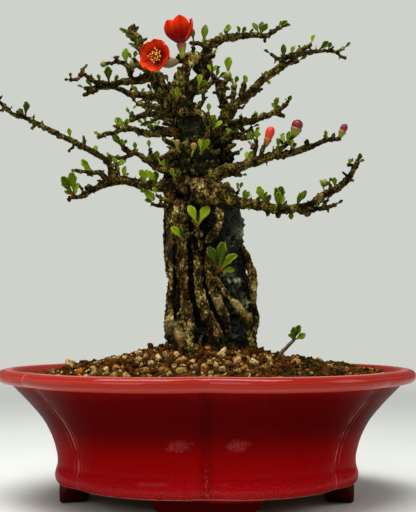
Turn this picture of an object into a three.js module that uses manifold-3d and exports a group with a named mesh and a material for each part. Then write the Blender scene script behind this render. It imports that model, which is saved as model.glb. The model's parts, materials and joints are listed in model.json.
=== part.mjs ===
// A japanese quince bonsai grown over a dark rock, in its six-lobed glazed pot.
// Millimetres, +Z up. The origin is on the surface under the middle of the pot, the front is -Y.
import * as THREE from 'three';
import { mergeVertices } from 'three/addons/utils/BufferGeometryUtils.js';
import Module from 'manifold-3d';

const wasm = await Module();
wasm.setup();

// Driving dimensions of the pot
const rimHalfWidth = 125.4;
const baseHalfWidth = 89;
const rimCrease = { middle: 92, sideX: 101, sideY: 57, endBulge: 24, bulge: 20 };
const baseCrease = { middle: 68, sideX: 72, sideY: 37, endBulge: 17, bulge: 14 };
const lobeSteps = 6;
const footTop = 9.5;
const footOuter = 88.4;
const footInner = 73;
const footHalfWidth = 31;
const endFootHalfWidth = 26;
const footStep = 4;
const footShoulder = 6;
const footSole = 12;
const drainRadius = 7;
const drainOffset = 38;
const floorHeight = 15.5;
const screenSize = 26;
const screenThickness = 1;
const screenLift = 0.3;

// Driving dimensions of the soil and the plant
const soilEdge = 73.5;
const soilRise = 16;
const soilPlug = 5.5;
const soilPlugRadius = 34;
const soilRoughness = 3.6;
const soilHalfSize = [112, 84];
const soilRows = [0.92, 0.74, 0.55, 0.35, 0.14];
const pebbleCount = 7;
const pebbleHalfSize = 2.2;
const pebbleReach = 0.93;
const clearance = 0.35;
const blade = 0.7;
const twigFineness = 0.7;
const goldenTurn = Math.PI * (3 - Math.sqrt(5));

// Half width at the ends and height of the outer face, from the underside to the top of the lip
const outerProfile = [
  [88.4, 8], [90.3, 11.5], [89.8, 15.6], [88.8, 17.4], [89.6, 28], [92.6, 38.5], [98, 48.5], [105.8, 57.8],
  [113, 64], [120.4, 67.4], [124.8, 69.4], [125.4, 73], [123.4, 76.6], [119, 78],
];
// The same for the inner face, from the lip down to the floor
const innerProfile = [[114.6, 76.6], [111.4, 70], [96, 54], [84, 33], [79.5, floorHeight]];

const colours = {
  glaze: { color: 0x7c0b12, roughness: 0.22, metalness: 0 },
  soil: { color: 0x4a3527, roughness: 0.95, metalness: 0 },
  rock: { color: 0x1c2625, roughness: 0.5, metalness: 0 },
  bark: { color: 0x5d5148, roughness: 0.85, metalness: 0 },
  twig: { color: 0x6a5a4c, roughness: 0.8, metalness: 0 },
  leaf: { color: 0x9cb32c, roughness: 0.55, metalness: 0 },
  calyx: { color: 0xa9b857, roughness: 0.55, metalness: 0 },
  petal: { color: 0xe2391c, roughness: 0.5, metalness: 0 },
  bud: { color: 0xb3202a, roughness: 0.5, metalness: 0 },
  stamen: { color: 0xe2b54a, roughness: 0.6, metalness: 0 },
  screen: { color: 0x2e2e30, roughness: 0.7, metalness: 0 },
};

// A number from 0 to 1, the same each time the file runs
function seededRandom(seed) {
  let state = seed;
  return () => {
    state = (state * 1664525 + 1013904223) % 4294967296;
    return state / 4294967296;
  };
}

const vector = ([x, y, z]) => new THREE.Vector3(x, y, z);
const yAxis = new THREE.Vector3(0, 1, 0);

function solidOf(geometry) {
  const bare = geometry.clone();
  bare.deleteAttribute('normal');
  bare.deleteAttribute('uv');
  const merged = mergeVertices(bare, 1e-4);
  const vertProperties = Float32Array.from(merged.getAttribute('position').array);
  const triVerts = Uint32Array.from(merged.getIndex().array);
  return new wasm.Manifold(new wasm.Mesh({ numProp: 3, vertProperties, triVerts }));
}

function geometryOf(solid) {
  const mesh = solid.getMesh();
  const geometry = new THREE.BufferGeometry();
  geometry.setAttribute('position', new THREE.BufferAttribute(mesh.vertProperties, 3));
  geometry.setIndex(new THREE.BufferAttribute(mesh.triVerts, 1));
  geometry.computeVertexNormals();
  return geometry;
}

const joined = (solids) => solids.reduce((sum, solid) => sum.add(solid));

// Drops loose scrap and fills a hollow that joining sealed
function largestBody(solid) {
  const bodies = solid.decompose();
  bodies.sort((a, b) => b.volume() - a.volume());
  return bodies[0];
}

// A closed geometry from points and triangles given as lists
function geometryFrom(points, triangles) {
  const geometry = new THREE.BufferGeometry();
  geometry.setAttribute('position', new THREE.Float32BufferAttribute(points.flatMap((p) => p.toArray()), 3));
  geometry.setIndex(triangles.flat());
  return geometry;
}

// Rings of points, counter-clockwise from above, joined in order and closed by a fan at each end
function loft(rings) {
  const count = rings[0].length;
  const points = rings.flat();
  const triangles = [];
  for (let row = 0; row < rings.length - 1; row++) {
    for (let i = 0; i < count; i++) {
      const a = row * count + i;
      const b = row * count + (i + 1) % count;
      triangles.push([a, b, b + count], [a, b + count, a + count]);
    }
  }
  const centreOf = (ring) => ring.reduce((sum, p) => sum.add(p), new THREE.Vector3()).divideScalar(count);
  points.push(centreOf(rings[0]), centreOf(rings[rings.length - 1]));
  const top = (rings.length - 1) * count;
  for (let i = 0; i < count; i++) {
    const next = (i + 1) % count;
    triangles.push([points.length - 2, next, i], [points.length - 1, top + i, top + next]);
  }
  return geometryFrom(points, triangles);
}

// The six-lobed outline at one height, where its ends reach halfWidth, drawn in by inset
function lobedRing(halfWidth, height, inset = 0) {
  const open = (halfWidth - baseHalfWidth) / (rimHalfWidth - baseHalfWidth);
  const size = (key) => THREE.MathUtils.lerp(baseCrease[key], rimCrease[key], open);
  const [middle, sideX, sideY] = ['middle', 'sideX', 'sideY'].map(size);
  const creases = [[sideX, -sideY], [sideX, sideY], [0, middle], [-sideX, sideY], [-sideX, -sideY], [0, -middle]];
  const corners = creases.map(([x, y]) => new THREE.Vector2(x, y));
  const ring = [];
  corners.forEach((start, lobe) => {
    const end = corners[(lobe + 1) % corners.length];
    const bulge = size(start.x === end.x ? 'endBulge' : 'bulge');
    const chord = end.clone().sub(start);
    const half = chord.length() / 2;
    const along = chord.normalize();
    const out = new THREE.Vector2(along.y, -along.x);
    const radius = (half * half + bulge * bulge) / (2 * bulge);
    const centre = start.clone().add(end).divideScalar(2).addScaledVector(out, bulge - radius);
    const reach = Math.asin(half / radius);
    for (let step = 0; step < lobeSteps; step++) {
      const turn = THREE.MathUtils.lerp(-reach, reach, step / lobeSteps);
      const normal = out.clone().multiplyScalar(Math.cos(turn)).addScaledVector(along, Math.sin(turn));
      const point = centre.clone().addScaledVector(normal, radius);
      const inward = step === 0 ? point.clone().normalize() : normal;
      point.addScaledVector(inward, -inset);
      ring.push(new THREE.Vector3(point.x, point.y, height));
    }
  });
  return ring;
}

// Pot: a shell with a rolled lip, four cloud feet under the creased walls and two drain holes
function cloudFoot(halfWidth) {
  const foot = new THREE.Shape();
  foot.moveTo(-halfWidth, footTop);
  foot.quadraticCurveTo(-halfWidth, footStep, -halfWidth + footShoulder, footStep);
  foot.quadraticCurveTo(-halfWidth + footShoulder + 1, 0, -halfWidth + footSole, 0);
  foot.lineTo(halfWidth - footSole, 0);
  foot.quadraticCurveTo(halfWidth - footShoulder - 1, 0, halfWidth - footShoulder, footStep);
  foot.quadraticCurveTo(halfWidth, footStep, halfWidth, footTop);
  const depth = 2 * rimHalfWidth;
  const geometry = new THREE.ExtrudeGeometry(foot, { depth, bevelEnabled: false, curveSegments: 3 });
  return geometry.translate(0, 0, -rimHalfWidth).rotateX(Math.PI / 2);
}

function makePot() {
  const rings = [...outerProfile, ...innerProfile].map(([halfWidth, height]) => lobedRing(halfWidth, height));
  const footBand = solidOf(loft([lobedRing(footOuter, -1), lobedRing(footOuter, footTop)]))
    .subtract(solidOf(loft([lobedRing(footInner, -2), lobedRing(footInner, footTop + 1)])));
  const frontAndBack = solidOf(cloudFoot(footHalfWidth));
  const ends = solidOf(cloudFoot(endFootHalfWidth).rotateZ(Math.PI / 2));
  let pot = solidOf(loft(rings)).add(footBand.intersect(frontAndBack.add(ends)));
  for (const side of [-1, 1]) {
    const drain = new THREE.CylinderGeometry(drainRadius, drainRadius, 2 * floorHeight, 16);
    pot = pot.subtract(solidOf(drain.rotateX(Math.PI / 2).translate(side * drainOffset, 0, floorHeight)));
  }
  return pot;
}

// Drain screen: a thin square plate of slots over one hole
const slots = 4;
const slotLength = screenSize * 0.84;

function makeScreen(side) {
  const pitch = screenSize / (slots + 0.4);
  let net = solidOf(new THREE.BoxGeometry(screenSize, screenSize, screenThickness));
  for (let row = 0; row < slots; row++) {
    const slot = new THREE.BoxGeometry(slotLength, pitch * 0.6, 3 * screenThickness);
    net = net.subtract(solidOf(slot.translate(0, (row - (slots - 1) / 2) * pitch, 0)));
  }
  return net.translate([side * drainOffset, 0, floorHeight + screenLift + screenThickness / 2]);
}

// Soil: fills the pot, mounds up to the trunk, and is covered with coarse grains
function soilHeight(x, y) {
  const outward = Math.min(1, Math.hypot(x / soilHalfSize[0], y / soilHalfSize[1]));
  const fromTrunk = Math.hypot(x, y) / soilPlugRadius;
  return soilEdge + soilRise * (1 - outward) ** 0.85 + soilPlug * Math.exp(-fromTrunk * fromTrunk);
}

function makeSoil() {
  const random = seededRandom(11);
  const sideRows = [[79.5, floorHeight + clearance], ...innerProfile.slice(1, 4).reverse(), [112.2, 72.4]];
  const rings = sideRows.map(([halfWidth, height]) => lobedRing(halfWidth, height, clearance + 0.1));
  const edge = rings[rings.length - 1];
  for (const reach of soilRows) {
    rings.push(edge.map((p) => {
      const x = p.x * reach;
      const y = p.y * reach;
      return new THREE.Vector3(x, y, soilHeight(x, y) + (random() - 0.5) * soilRoughness);
    }));
  }
  const grains = [];
  for (let i = 0; i < pebbleCount; i++) {
    const turn = i * goldenTurn;
    const reach = pebbleReach * (0.3 + 0.67 * Math.sqrt((i + 0.5) / pebbleCount));
    const x = Math.cos(turn) * soilHalfSize[0] * reach;
    const y = Math.sin(turn) * soilHalfSize[1] * reach;
    const grain = new THREE.IcosahedronGeometry(pebbleHalfSize + 1.6 * random(), 0);
    grain.scale(1.2, 1, 0.9).rotateZ(random() * Math.PI).translate(x, y, soilHeight(x, y) + 0.7);
    grains.push(solidOf(grain));
  }
  let soil = solidOf(loft(rings)).add(joined(grains));
  for (const side of [-1, 1]) {
    const pocket = new THREE.BoxGeometry(screenSize + 1, screenSize + 1, 4);
    soil = soil.subtract(solidOf(pocket.translate(side * drainOffset, 0, floorHeight + screenThickness - 1)));
  }
  return soil;
}

// A tapered stem that bends through its points, with one radius for each point or a first and last
function stem(route, thick, sides, grow, fine = 1) {
  const curve = new THREE.CatmullRomCurve3(route.map(vector), false, 'centripetal');
  const steps = Math.round((route.length - 1) * fine);
  const radiusAt = (u) => {
    const place = u * (thick.length - 1);
    const low = Math.min(Math.floor(place), thick.length - 2);
    return THREE.MathUtils.lerp(thick[low], thick[low + 1], place - low) + grow;
  };
  const frames = [];
  let across = new THREE.Vector3(1, 0.3, 0.2);
  for (let step = 0; step <= steps; step++) {
    const u = step / steps;
    const along = curve.getTangent(u);
    across = across.clone().addScaledVector(along, -across.dot(along)).normalize();
    frames.push({ u, along, across, centre: curve.getPoint(u), radius: radiusAt(u) });
  }
  frames[0].centre.addScaledVector(frames[0].along, -grow);
  frames[steps].centre.addScaledVector(frames[steps].along, grow);
  const tube = new THREE.CylinderGeometry(1, 1, steps, sides, steps);
  const places = tube.getAttribute('position');
  for (let i = 0; i < places.count; i++) {
    const frame = frames[Math.round(places.getY(i) + steps / 2)];
    const out = frame.along.clone().cross(frame.across).negate();
    const point = frame.centre.clone()
      .addScaledVector(frame.across, places.getZ(i) * frame.radius)
      .addScaledVector(out, -places.getX(i) * frame.radius);
    places.setXYZ(i, point.x, point.y, point.z);
  }
  return solidOf(tube);
}

// A rounded knob, stretched to its three half sizes
function knob(centre, sizes, grow = 0, detail = 1) {
  const ball = new THREE.IcosahedronGeometry(1, detail);
  const [x, y, z] = sizes.map((size) => size + grow);
  return solidOf(ball.scale(x, y, z).translate(...centre));
}

// A thorn or a pointed bud that stands out from its base
function spike(base, along, radius, grow = 0, sides = 3) {
  const way = vector(along);
  const length = way.length();
  const turn = new THREE.Quaternion().setFromUnitVectors(yAxis, way.normalize());
  const cone = new THREE.ConeGeometry(radius + grow, length + grow, sides).translate(0, (length + grow) / 2, 0);
  return solidOf(cone.applyQuaternion(turn).translate(...base));
}

// A thin plate whose blades spring from a small hub, as thick as given. The hub's points run round the
// foot from right to left. Each blade is rows of points, left to right, and starts on one edge of the hub.
function bladedPlate(hub, blades, up, thickness) {
  const points = hub.slice();
  const top = [];
  const rim = [];
  blades.forEach((rows, i) => {
    const right = i;
    const left = (i + 1) % hub.length;
    let last = [left, right];
    const leftSide = [left];
    const rightSide = [right];
    for (const row of rows) {
      const next = row.map((point) => points.push(point) - 1);
      let k = 0;
      let j = 0;
      while (k < last.length - 1 || j < next.length - 1) {
        const ahead = (j + 1) / Math.max(1, next.length - 1) < (k + 1) / Math.max(1, last.length - 1);
        if (k < last.length - 1 && !(ahead && j < next.length - 1)) {
          top.push([last[k], last[k + 1], next[j]]);
          k++;
        } else {
          top.push([last[k], next[j + 1], next[j]]);
          j++;
        }
      }
      leftSide.push(next[0]);
      if (next.length > 1) rightSide.push(next[next.length - 1]);
      last = next;
    }
    const tip = last.slice(1, -1).reverse();
    rim.push(...rightSide, ...tip, ...leftSide.reverse().slice(0, -1));
  });
  for (let i = 1; i < hub.length - 1; i++) top.push([0, i, i + 1]);
  for (let i = blades.length; i < hub.length; i++) rim.push(i);
  const both = [1, -1].flatMap((way) => points.map((p) => p.clone().addScaledVector(up, way * thickness / 2)));
  const under = points.length;
  const triangles = [...top, ...top.map(([a, b, c]) => [under + a, under + c, under + b])];
  rim.forEach((a, i) => {
    const b = rim[(i + 1) % rim.length];
    triangles.push([under + a, under + b, b], [under + a, b, a]);
  });
  return solidOf(geometryFrom(both, triangles));
}

// A tuft of spoon-shaped leaves that share a foot: narrow stalks, wide shoulders, seeded curl.
// Leaves that stand clear of each other share a plate, the others lie over them in a second one.
const hubRadius = 2;
const stalkHalfWidth = 0.35;
const longLeaf = 10;
const leafSlimness = 0.27;
const leafHalfWidths = [1.5, 2.8];
const shoulderReach = 0.68;
const widestFan = 2.1;
const leastShare = 0.65;

function tuft([base, ...tips], random, grow) {
  const up = new THREE.Vector3((random() - 0.5) * 0.9, -0.8, 0.3 + 0.5 * random()).normalize();
  const foot = vector(base);
  const leaves = tips.map(([dx, dz]) => {
    const way = new THREE.Vector3(dx, 0, dz);
    const length = way.length();
    way.addScaledVector(up, -way.dot(up)).normalize();
    return { way, length, curl: (random() - 0.35) * length * 0.45, half: length * leafSlimness };
  });
  const axis = middleWay(leaves);
  const side = axis.clone().cross(up);
  for (const leaf of leaves) {
    leaf.angle = Math.atan2(leaf.way.dot(side), leaf.way.dot(axis));
    leaf.half = THREE.MathUtils.clamp(leaf.half, ...leafHalfWidths);
  }
  leaves.sort((a, b) => b.angle - a.angle);
  const plates = [];
  for (const leaf of leaves) {
    const home = plates.find((plate) => {
      const near = plate[plate.length - 1];
      const room = Math.tan((near.angle - leaf.angle) / 2) * Math.min(near.length, leaf.length) * shoulderReach;
      return room > Math.max(near.half, leaf.half) * leastShare && plate[0].angle - leaf.angle < widestFan;
    });
    if (home) home.push(leaf);
    else plates.push([leaf]);
  }
  return plates.map((plate, i) => leafPlate(plate, foot, up, plates.length > 1 ? [1, -1][i % 2] : 0, grow));
}

const middleWay = (leaves) => leaves.reduce((sum, { way }) => sum.add(way), new THREE.Vector3()).normalize();

// One plate of leaves. Its turn says whether the leaves bend up, bend down or as they like
function leafPlate(leaves, foot, up, turn, grow) {
  const axis = middleWay(leaves);
  const side = axis.clone().cross(up).normalize();
  const angles = leaves.map(({ way }) => Math.atan2(way.dot(side), way.dot(axis)));
  const at = (angle, radius) => foot.clone()
    .addScaledVector(axis, Math.cos(angle) * radius).addScaledVector(side, Math.sin(angle) * radius);
  const spread = 0.35;
  const bounds = [angles[0] + spread, ...angles.slice(1).map((angle, i) => (angle + angles[i]) / 2)];
  bounds.push(angles[angles.length - 1] - spread);
  const hub = bounds.map((angle) => at(angle, hubRadius + grow));
  for (const sign of [-1, 1]) hub.push(foot.clone().addScaledVector(side, sign * (stalkHalfWidth + grow)));
  const blades = leaves.map(({ way, length, curl, half }, i) => {
    const gap = Math.min(angles[i - 1] - angles[i] || Infinity, angles[i] - angles[i + 1] || Infinity, 2.4);
    const across = way.clone().cross(up);
    const bend = turn ? turn * Math.abs(curl) : curl;
    const row = (reach, share, lift) => {
      const width = Math.min(half * share, Math.tan(gap / 2) * length * reach * 0.94) + grow;
      return [-1, 1].map((sign) => foot.clone()
        .addScaledVector(way, length * reach).addScaledVector(across, sign * width).addScaledVector(up, lift));
    };
    const tip = foot.clone().addScaledVector(way, length + grow).addScaledVector(up, bend);
    if (length < longLeaf) return [row(shoulderReach, 1, bend * 0.4), [tip]];
    return [row(0.52, 0.85, bend * 0.1), row(0.8, 1, bend * 0.5), [tip]];
  });
  return bladedPlate(hub, blades, up, blade + 2 * grow);
}

// A thicker stem gets more sides
const sidesFor = (radius) => (radius > 3 ? 5 : radius > 1.9 ? 4 : 3);

// A branch: its stems, thorns, buds and leaves as one body
function branch({ seed = 1, stems, thorns = [], buds = [], tufts = [] }, grow) {
  const random = seededRandom(seed);
  return joined([
    ...stems.map(({ route, thick }) => stem(route, thick, sidesFor(thick[0]), grow, twigFineness)),
    ...thorns.map(([base, along]) => spike(base, along, 0.8, grow)),
    ...buds.map(([centre, radius]) => knob(centre, [radius * 0.9, radius * 0.9, radius * 1.15], grow, 0)),
    ...tufts.flatMap((spot) => tuft(spot, random, grow)),
  ]);
}

// Trunk: the old bole and its forks, with roots that run down over the rock
const boleParts = [
  { thick: [11, 13.5, 12.5, 11, 10.5, 9.5, 7.5, 5.5], sides: 8,
    route: [[-2, -8, 163], [-2, -12, 178], [-4, -10, 192], [-6, -7, 203], [-8, -4, 216], [-11, -3, 227],
      [-16, -3, 237], [-22, -3, 243]] },
  { thick: [5.5, 4.2, 3.6, 3], sides: 6, route: [[-19, -3, 240], [-24, -4, 246], [-28, -5, 251], [-32, -6, 255]] },
  { thick: [5.5, 5, 4.6, 4.8, 4.2], sides: 6,
    route: [[-14, -2, 238], [-10, 2, 250], [-4, 3, 257], [-2, 2, 264], [-2, 2, 271]] },
  { thick: [3.6, 3.2, 3, 3.2], sides: 6, route: [[-16, -4, 241], [-14, -7, 250], [-13, -7, 258], [-10, -4, 265]] },
  { thick: [4, 4.2, 3.4, 2.6], sides: 6, route: [[-2, 2, 267], [-8, -3, 267], [-12, -5, 267], [-15, -6, 268]] },
  { thick: [6, 5, 4, 3.4, 3.2], sides: 6,
    route: [[-4, -3, 210], [1, 0, 216], [5, 1, 221], [9, 2, 227], [12, 1, 233]] },
  { thick: [4, 5.6, 5, 4.2, 3.4], sides: 6,
    route: [[-16, -4, 206], [-20, -6, 192], [-20, -7, 178], [-20, -8, 164], [-20, -8, 148]] },
];
const rootParts = [
  { thick: [6, 3.4, 2.6, 3, 4.2, 5, 4.5, 4, 3],
    route: [[-15, -10, 179], [-20, -11, 166], [-22, -9, 142], [-21, -10, 128], [-22, -11, 117], [-22, -13, 107],
      [-18, -17, 99], [-11, -19, 92], [-9, -20, 76]] },
  { thick: [7, 5, 4.4, 4.6, 4.4, 4.8, 4.2, 3.4],
    route: [[-10, -12, 174], [-14, -15, 154], [-15, -17, 144], [-13, -16, 129], [-13, -18, 116], [-12, -20, 105],
      [-7, -22, 94], [-4, -22, 76]] },
  { thick: [6, 4.5, 4, 3.8, 3.8, 4, 4, 3.4],
    route: [[-3, -12, 171], [-4, -15, 150], [-6, -18, 140], [-4, -17, 126], [0, -19, 113], [5, -21, 103],
      [8, -23, 94], [10, -23, 76]] },
  { thick: [5, 3, 2.5, 2.5, 2.4, 2.2],
    route: [[0, -12, 170], [1, -15, 141], [1, -16, 131], [4, -17, 122], [8, -18, 114], [11, -20, 101]] },
  { thick: [5, 3, 2.1, 2.1, 2.2, 2.9, 2.4, 2.2],
    route: [[3, -12, 170], [3, -13, 141], [5, -14, 128], [11, -15, 121], [17, -15, 113], [23, -14, 108],
      [25, -13, 100], [26, -13, 76]] },
  { thick: [6, 4, 2.8, 2.6, 2.6, 2.8, 2.4, 2.6, 2],
    route: [[9, -10, 176], [16, -8, 156], [22, -6, 144], [27, -4, 135], [29, -3, 127], [28, -3, 117],
      [28, -4, 107], [28, -5, 92], [28, -5, 76]] },
  { thick: [3.6, 3.2, 2.4], route: [[6, -13, 176], [7, -13, 165], [4, -12, 157]] },
];
const barkKnobs = [
  [[1, -17, 182], [12, 8, 8.5]], [[13, -14, 184], [8, 7, 7]], [[-11, -17, 190], [7, 6, 8]],
  [[-10, -11, 225], [6.2, 5, 6.2]], [[-22, -8, 186], [5, 5, 6]], [[-3, -15, 205], [6, 5, 6]],
  [[23, -14, 107], [4, 4, 3.6]], [[-30, -5, 254], [4.4, 4.2, 4]], [[-3, 2, 262], [5.4, 5, 4.4]],
];

function makeTrunk(grow) {
  return joined([
    ...boleParts.map(({ route, thick, sides }) => stem(route, thick, sides, grow)),
    ...rootParts.map(({ route, thick }) => stem(route, thick, 5, grow)),
    ...barkKnobs.map(([centre, sizes]) => knob(centre, sizes, grow, sizes[0] > 7.5 ? 1 : 0)),
  ]);
}

// Rock: a rough upright stone under the roots. Each row is height, centre x, half width, half depth
const rockRows = [
  [71, 1, 24, 19], [86, 1, 27, 23], [101, 1.5, 27, 22], [116, 2, 25.5, 20], [131, 2, 25, 19], [145, 1, 23.5, 17],
  [159, 0, 21.5, 17], [174, -1, 21, 15], [188, -2, 22, 15], [199, -3, 22, 13], [207, -4, 17, 10], [211, -4, 8, 6],
];
const rockSides = 11;
const rockBack = 7;
const rockRoughness = 0.3;

function makeRock(grow) {
  const random = seededRandom(29);
  const rings = rockRows.map(([height, x, halfWidth, halfDepth], row) => {
    const ring = [];
    for (let i = 0; i < rockSides; i++) {
      const turn = (i / rockSides) * 2 * Math.PI;
      const rough = 1 + (random() - 0.5) * rockRoughness;
      const lift = row === 0 ? 0 : (random() - 0.5) * 7;
      ring.push(new THREE.Vector3(
        x + Math.cos(turn) * (halfWidth * rough + grow),
        rockBack + Math.sin(turn) * (halfDepth * rough + grow),
        height + lift,
      ));
    }
    return ring;
  });
  return solidOf(loft(rings));
}

// Branches, each with the routes and thicknesses of its stems, its thorns, buds and leaf tufts.
// A tuft is its foot, then the reach of each leaf to the right and up.
const branches = {
  branch_low_left: {
    seed: 3,
    stems: [
      { thick: [3.6, 2.8, 2.4, 2.2, 2, 1.6, 1.3, 1.1],
        route: [[-19, -9, 187], [-30, -12, 187], [-40, -14, 188], [-51, -15, 190], [-59, -16, 188], [-68, -18, 184],
          [-74, -20, 180], [-81, -21, 179]] },
      { thick: [1.6, 0.9], route: [[-59, -16, 189], [-63, -18, 194], [-68, -20, 194], [-79, -22, 195]] },
      { thick: [1.4, 1], route: [[-53, -15, 190], [-53, -16, 195], [-54, -17, 199]] },
      { thick: [2.2, 1.6, 1.5, 1.4, 1.3, 1.2, 1.1, 1, 0.8],
        route: [[-56, -16, 190], [-58, -20, 199], [-64, -24, 204], [-77, -33, 210], [-89, -42, 215], [-100, -50, 220],
          [-108, -55, 222], [-114, -60, 227], [-120, -64, 232]] },
    ],
    thorns: [[[-112, -58, 225], [-4, -1, -4]], [[-99, -49, 219], [2, -2, 4]],
      [[-67, -18, 185], [1, -1, -4]], [[-72, -29, 207], [-1, 2, 5]]],
    buds: [[[-81, -21, 178], 1.5]],
    tufts: [
      [[-78, -21, 180], [-9, 11], [-2, 14], [2, 8], [-6, 3]], [[-49, -15, 189], [0, 10]],
      [[-54, -17, 197], [-1, 8], [5, 6]], [[-37, -13, 188], [-3, 9], [1, 9]], [[-30, -12, 187], [-5, 9], [-1, 10]],
      [[-67, -20, 194], [-7, 8], [-6, 4]], [[-40, -14, 188], [4, -6], [8, -10]], [[-102, -51, 221], [0, 9], [-4, 5]],
      [[-79, -34, 211], [0, 7]], [[-64, -24, 204], [-2, 6]],
    ],
  },
  sprig_low_left: {
    seed: 4,
    stems: [{ thick: [1.3, 0.9], route: [[-18, -11, 176], [-29, -15, 175], [-32, -16, 176]] },
      { thick: [1.2, 0.8], route: [[-20, -12, 176], [-26, -14, 179], [-30, -15, 181]] }],
    tufts: [[[-31, -16, 176], [-6, 2]], [[-29, -15, 181], [-4, 4]]],
  },
  branch_mid_low_left: {
    seed: 5,
    stems: [
      { thick: [2.6, 2.2, 1.9, 1.7, 1.5, 1.4, 1.2, 1],
        route: [[-13, -13, 195], [-23, -14, 196], [-30, -12, 198], [-33, -8, 201], [-38, -2, 205], [-43, 3, 209],
          [-48, 6, 210], [-52, 8, 213]] },
      { thick: [1.2, 0.8], route: [[-46, 5, 209], [-53, 8, 207], [-59, 11, 208], [-63, 14, 208]] },
    ],
    tufts: [[[-52, 8, 213], [-6, 9], [-1, 6]], [[-44, 3, 209], [0, 7]], [[-31, -10, 199], [-4, 9], [1, 10]],
      [[-24, -14, 196], [-5, 8], [-1, 8]], [[-62, 13, 208], [-5, 2]]],
  },
  branch_mid_left: {
    seed: 6,
    stems: [{ thick: [2.8, 2.3, 2, 1.8, 1.6, 1.5, 1.3, 1.2, 1, 0.9],
      route: [[-14, -6, 221], [-26, -9, 220], [-32, -11, 219], [-38, -13, 219], [-43, -14, 221], [-48, -15, 221],
        [-52, -16, 220], [-56, -17, 218], [-60, -18, 217], [-64, -19, 215]] }],
    thorns: [[[-41, -14, 220], [1, -2, -5]]],
    buds: [[[-64, -19, 216], 1.4]],
    tufts: [[[-49, -15, 220], [-6, 9], [1, 7]], [[-32, -11, 219], [-3, 6]], [[-63, -19, 216], [-4, 3]]],
  },
  branch_upper_mid_left: {
    seed: 7,
    stems: [
      { thick: [2.6, 1.4], route: [[-12, 3, 230], [-20, 7, 232], [-29, 12, 234], [-36, 15, 236], [-42, 18, 235],
        [-48, 20, 233]] },
      { thick: [1.3, 1.2], route: [[-47, 20, 232], [-48, 20, 237]] },
    ],
    tufts: [[[-36, 15, 236], [-2, 6], [3, 6]], [[-48, 20, 236], [-3, 5]]],
  },
  branch_back_left: {
    seed: 8,
    stems: [{ thick: [3, 2.4, 2, 1.6, 1.3],
      route: [[-14, 2, 234], [-22, 20, 239], [-30, 33, 243], [-37, 44, 247], [-46, 53, 250]] },
    { thick: [1.4, 1], route: [[-30, 33, 243], [-33, 42, 238], [-41, 50, 236]] }],
    tufts: [[[-37, 44, 247], [-4, 6], [2, 7]], [[-46, 53, 250], [-5, 4], [-3, -3]], [[-22, 20, 239], [-2, 6]],
      [[-41, 50, 236], [-5, 3], [0, 6]]],
  },
  branch_top_left: {
    seed: 9,
    stems: [
      { thick: [3.2, 2.6, 2.2, 1.8, 1.6, 1.4, 1.2],
        route: [[-30, -6, 253], [-34, -7, 254], [-41, -8, 252], [-51, -8, 251], [-59, -9, 248], [-67, -10, 247],
          [-73, -12, 246]] },
      { thick: [1.7, 1.4, 1.2, 1.1, 1, 0.9],
        route: [[-59, -10, 249], [-67, -13, 250], [-72, -15, 253], [-75, -16, 254], [-77, -17, 251],
          [-81, -18, 250]] },
      { thick: [1.4, 1], route: [[-66, -10, 246], [-74, -12, 242]] },
      { thick: [1.9, 1.5, 1.3, 1.1], route: [[-33, -8, 255], [-37, -10, 258], [-41, -12, 260], [-44, -13, 263]] },
      { thick: [1.5, 1.3, 1.2, 1.1, 1, 0.9],
        route: [[-45, -8, 252], [-47, -12, 257], [-49, -13, 261], [-54, -14, 262], [-57, -15, 261],
          [-62, -16, 260]] },
    ],
    thorns: [[[-65, -12, 250], [-1, 1, 5]], [[-55, -8, 250], [1, -2, -4]]],
    buds: [[[-44, -13, 261], 2.6], [[-62, -16, 260], 1.7]],
    tufts: [
      [[-81, -18, 250], [-4, 0], [-1, 4]], [[-69, -11, 246], [-3, 7]], [[-64, -12, 250], [-1, 5]],
      [[-59, -10, 249], [-1, 11]], [[-56, -9, 249], [1, 6]], [[-48, -13, 259], [-2, 12]], [[-46, -10, 254], [1, 8]],
      [[-73, -12, 246], [-5, 2]], [[-44, -13, 263], [-4, 4], [1, 6]],
    ],
  },
  branch_under_top_left: {
    seed: 10,
    stems: [{ thick: [2.8, 2.3, 2, 1.7, 1.5, 1.2],
      route: [[-20, 2, 241], [-30, 4, 244], [-41, 5, 246], [-47, 4, 246], [-52, 2, 248], [-56, 1, 249]] }],
    tufts: [[[-30, 4, 244], [-3, 6]], [[-41, 5, 246], [-5, 5], [2, 5]], [[-55, 1, 249], [-4, 5]]],
  },
  shoot_top_left: {
    seed: 12,
    stems: [{ thick: [2.2, 1.7, 1.5, 1.6, 2, 2.5],
      route: [[-27, 0, 251], [-34, 6, 263], [-40, 10, 273], [-44, 12, 281], [-46, 13, 286], [-47, 13, 289]] }],
    tufts: [[[-47, 13, 288], [-9, 2], [1, 6]], [[-42, 11, 276], [-6, 7], [0, 9]], [[-37, 8, 267], [-3, 4]]],
  },
  branch_top_right: {
    seed: 13,
    stems: [
      { thick: [3.2, 2.7, 2.4, 2, 1.8, 1.6, 1.4, 1.3, 1.2],
        route: [[-1, 2, 267], [1, 3, 276], [6, 4, 279], [13, 5, 282], [21, 6, 283], [29, 7, 284], [37, 8, 284],
          [42, 9, 287], [46, 10, 290]] },
      { thick: [1.6, 1], route: [[1, 3, 275], [-5, 1, 277], [-10, 0, 277]] },
    ],
    buds: [[[12, 4, 286], 1.6], [[46, 10, 290], 1.6]],
    tufts: [[[-2, 2, 276], [1, 13]], [[-8, 1, 277], [-1, 10]], [[11, 4, 282], [3, 8]],
      [[21, 6, 283], [-3, 6], [3, 6]], [[33, 7, 284], [-4, 8], [1, 9], [5, 7]],
      [[45, 10, 289], [1, 5], [6, 4], [8, 1]]],
  },
  branch_upper_right: {
    seed: 14,
    stems: [
      { thick: [3.2, 2.9, 2.7, 2.5, 2.3, 2.2, 2.1, 2, 1.8, 1.6, 1.5, 1.3],
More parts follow.
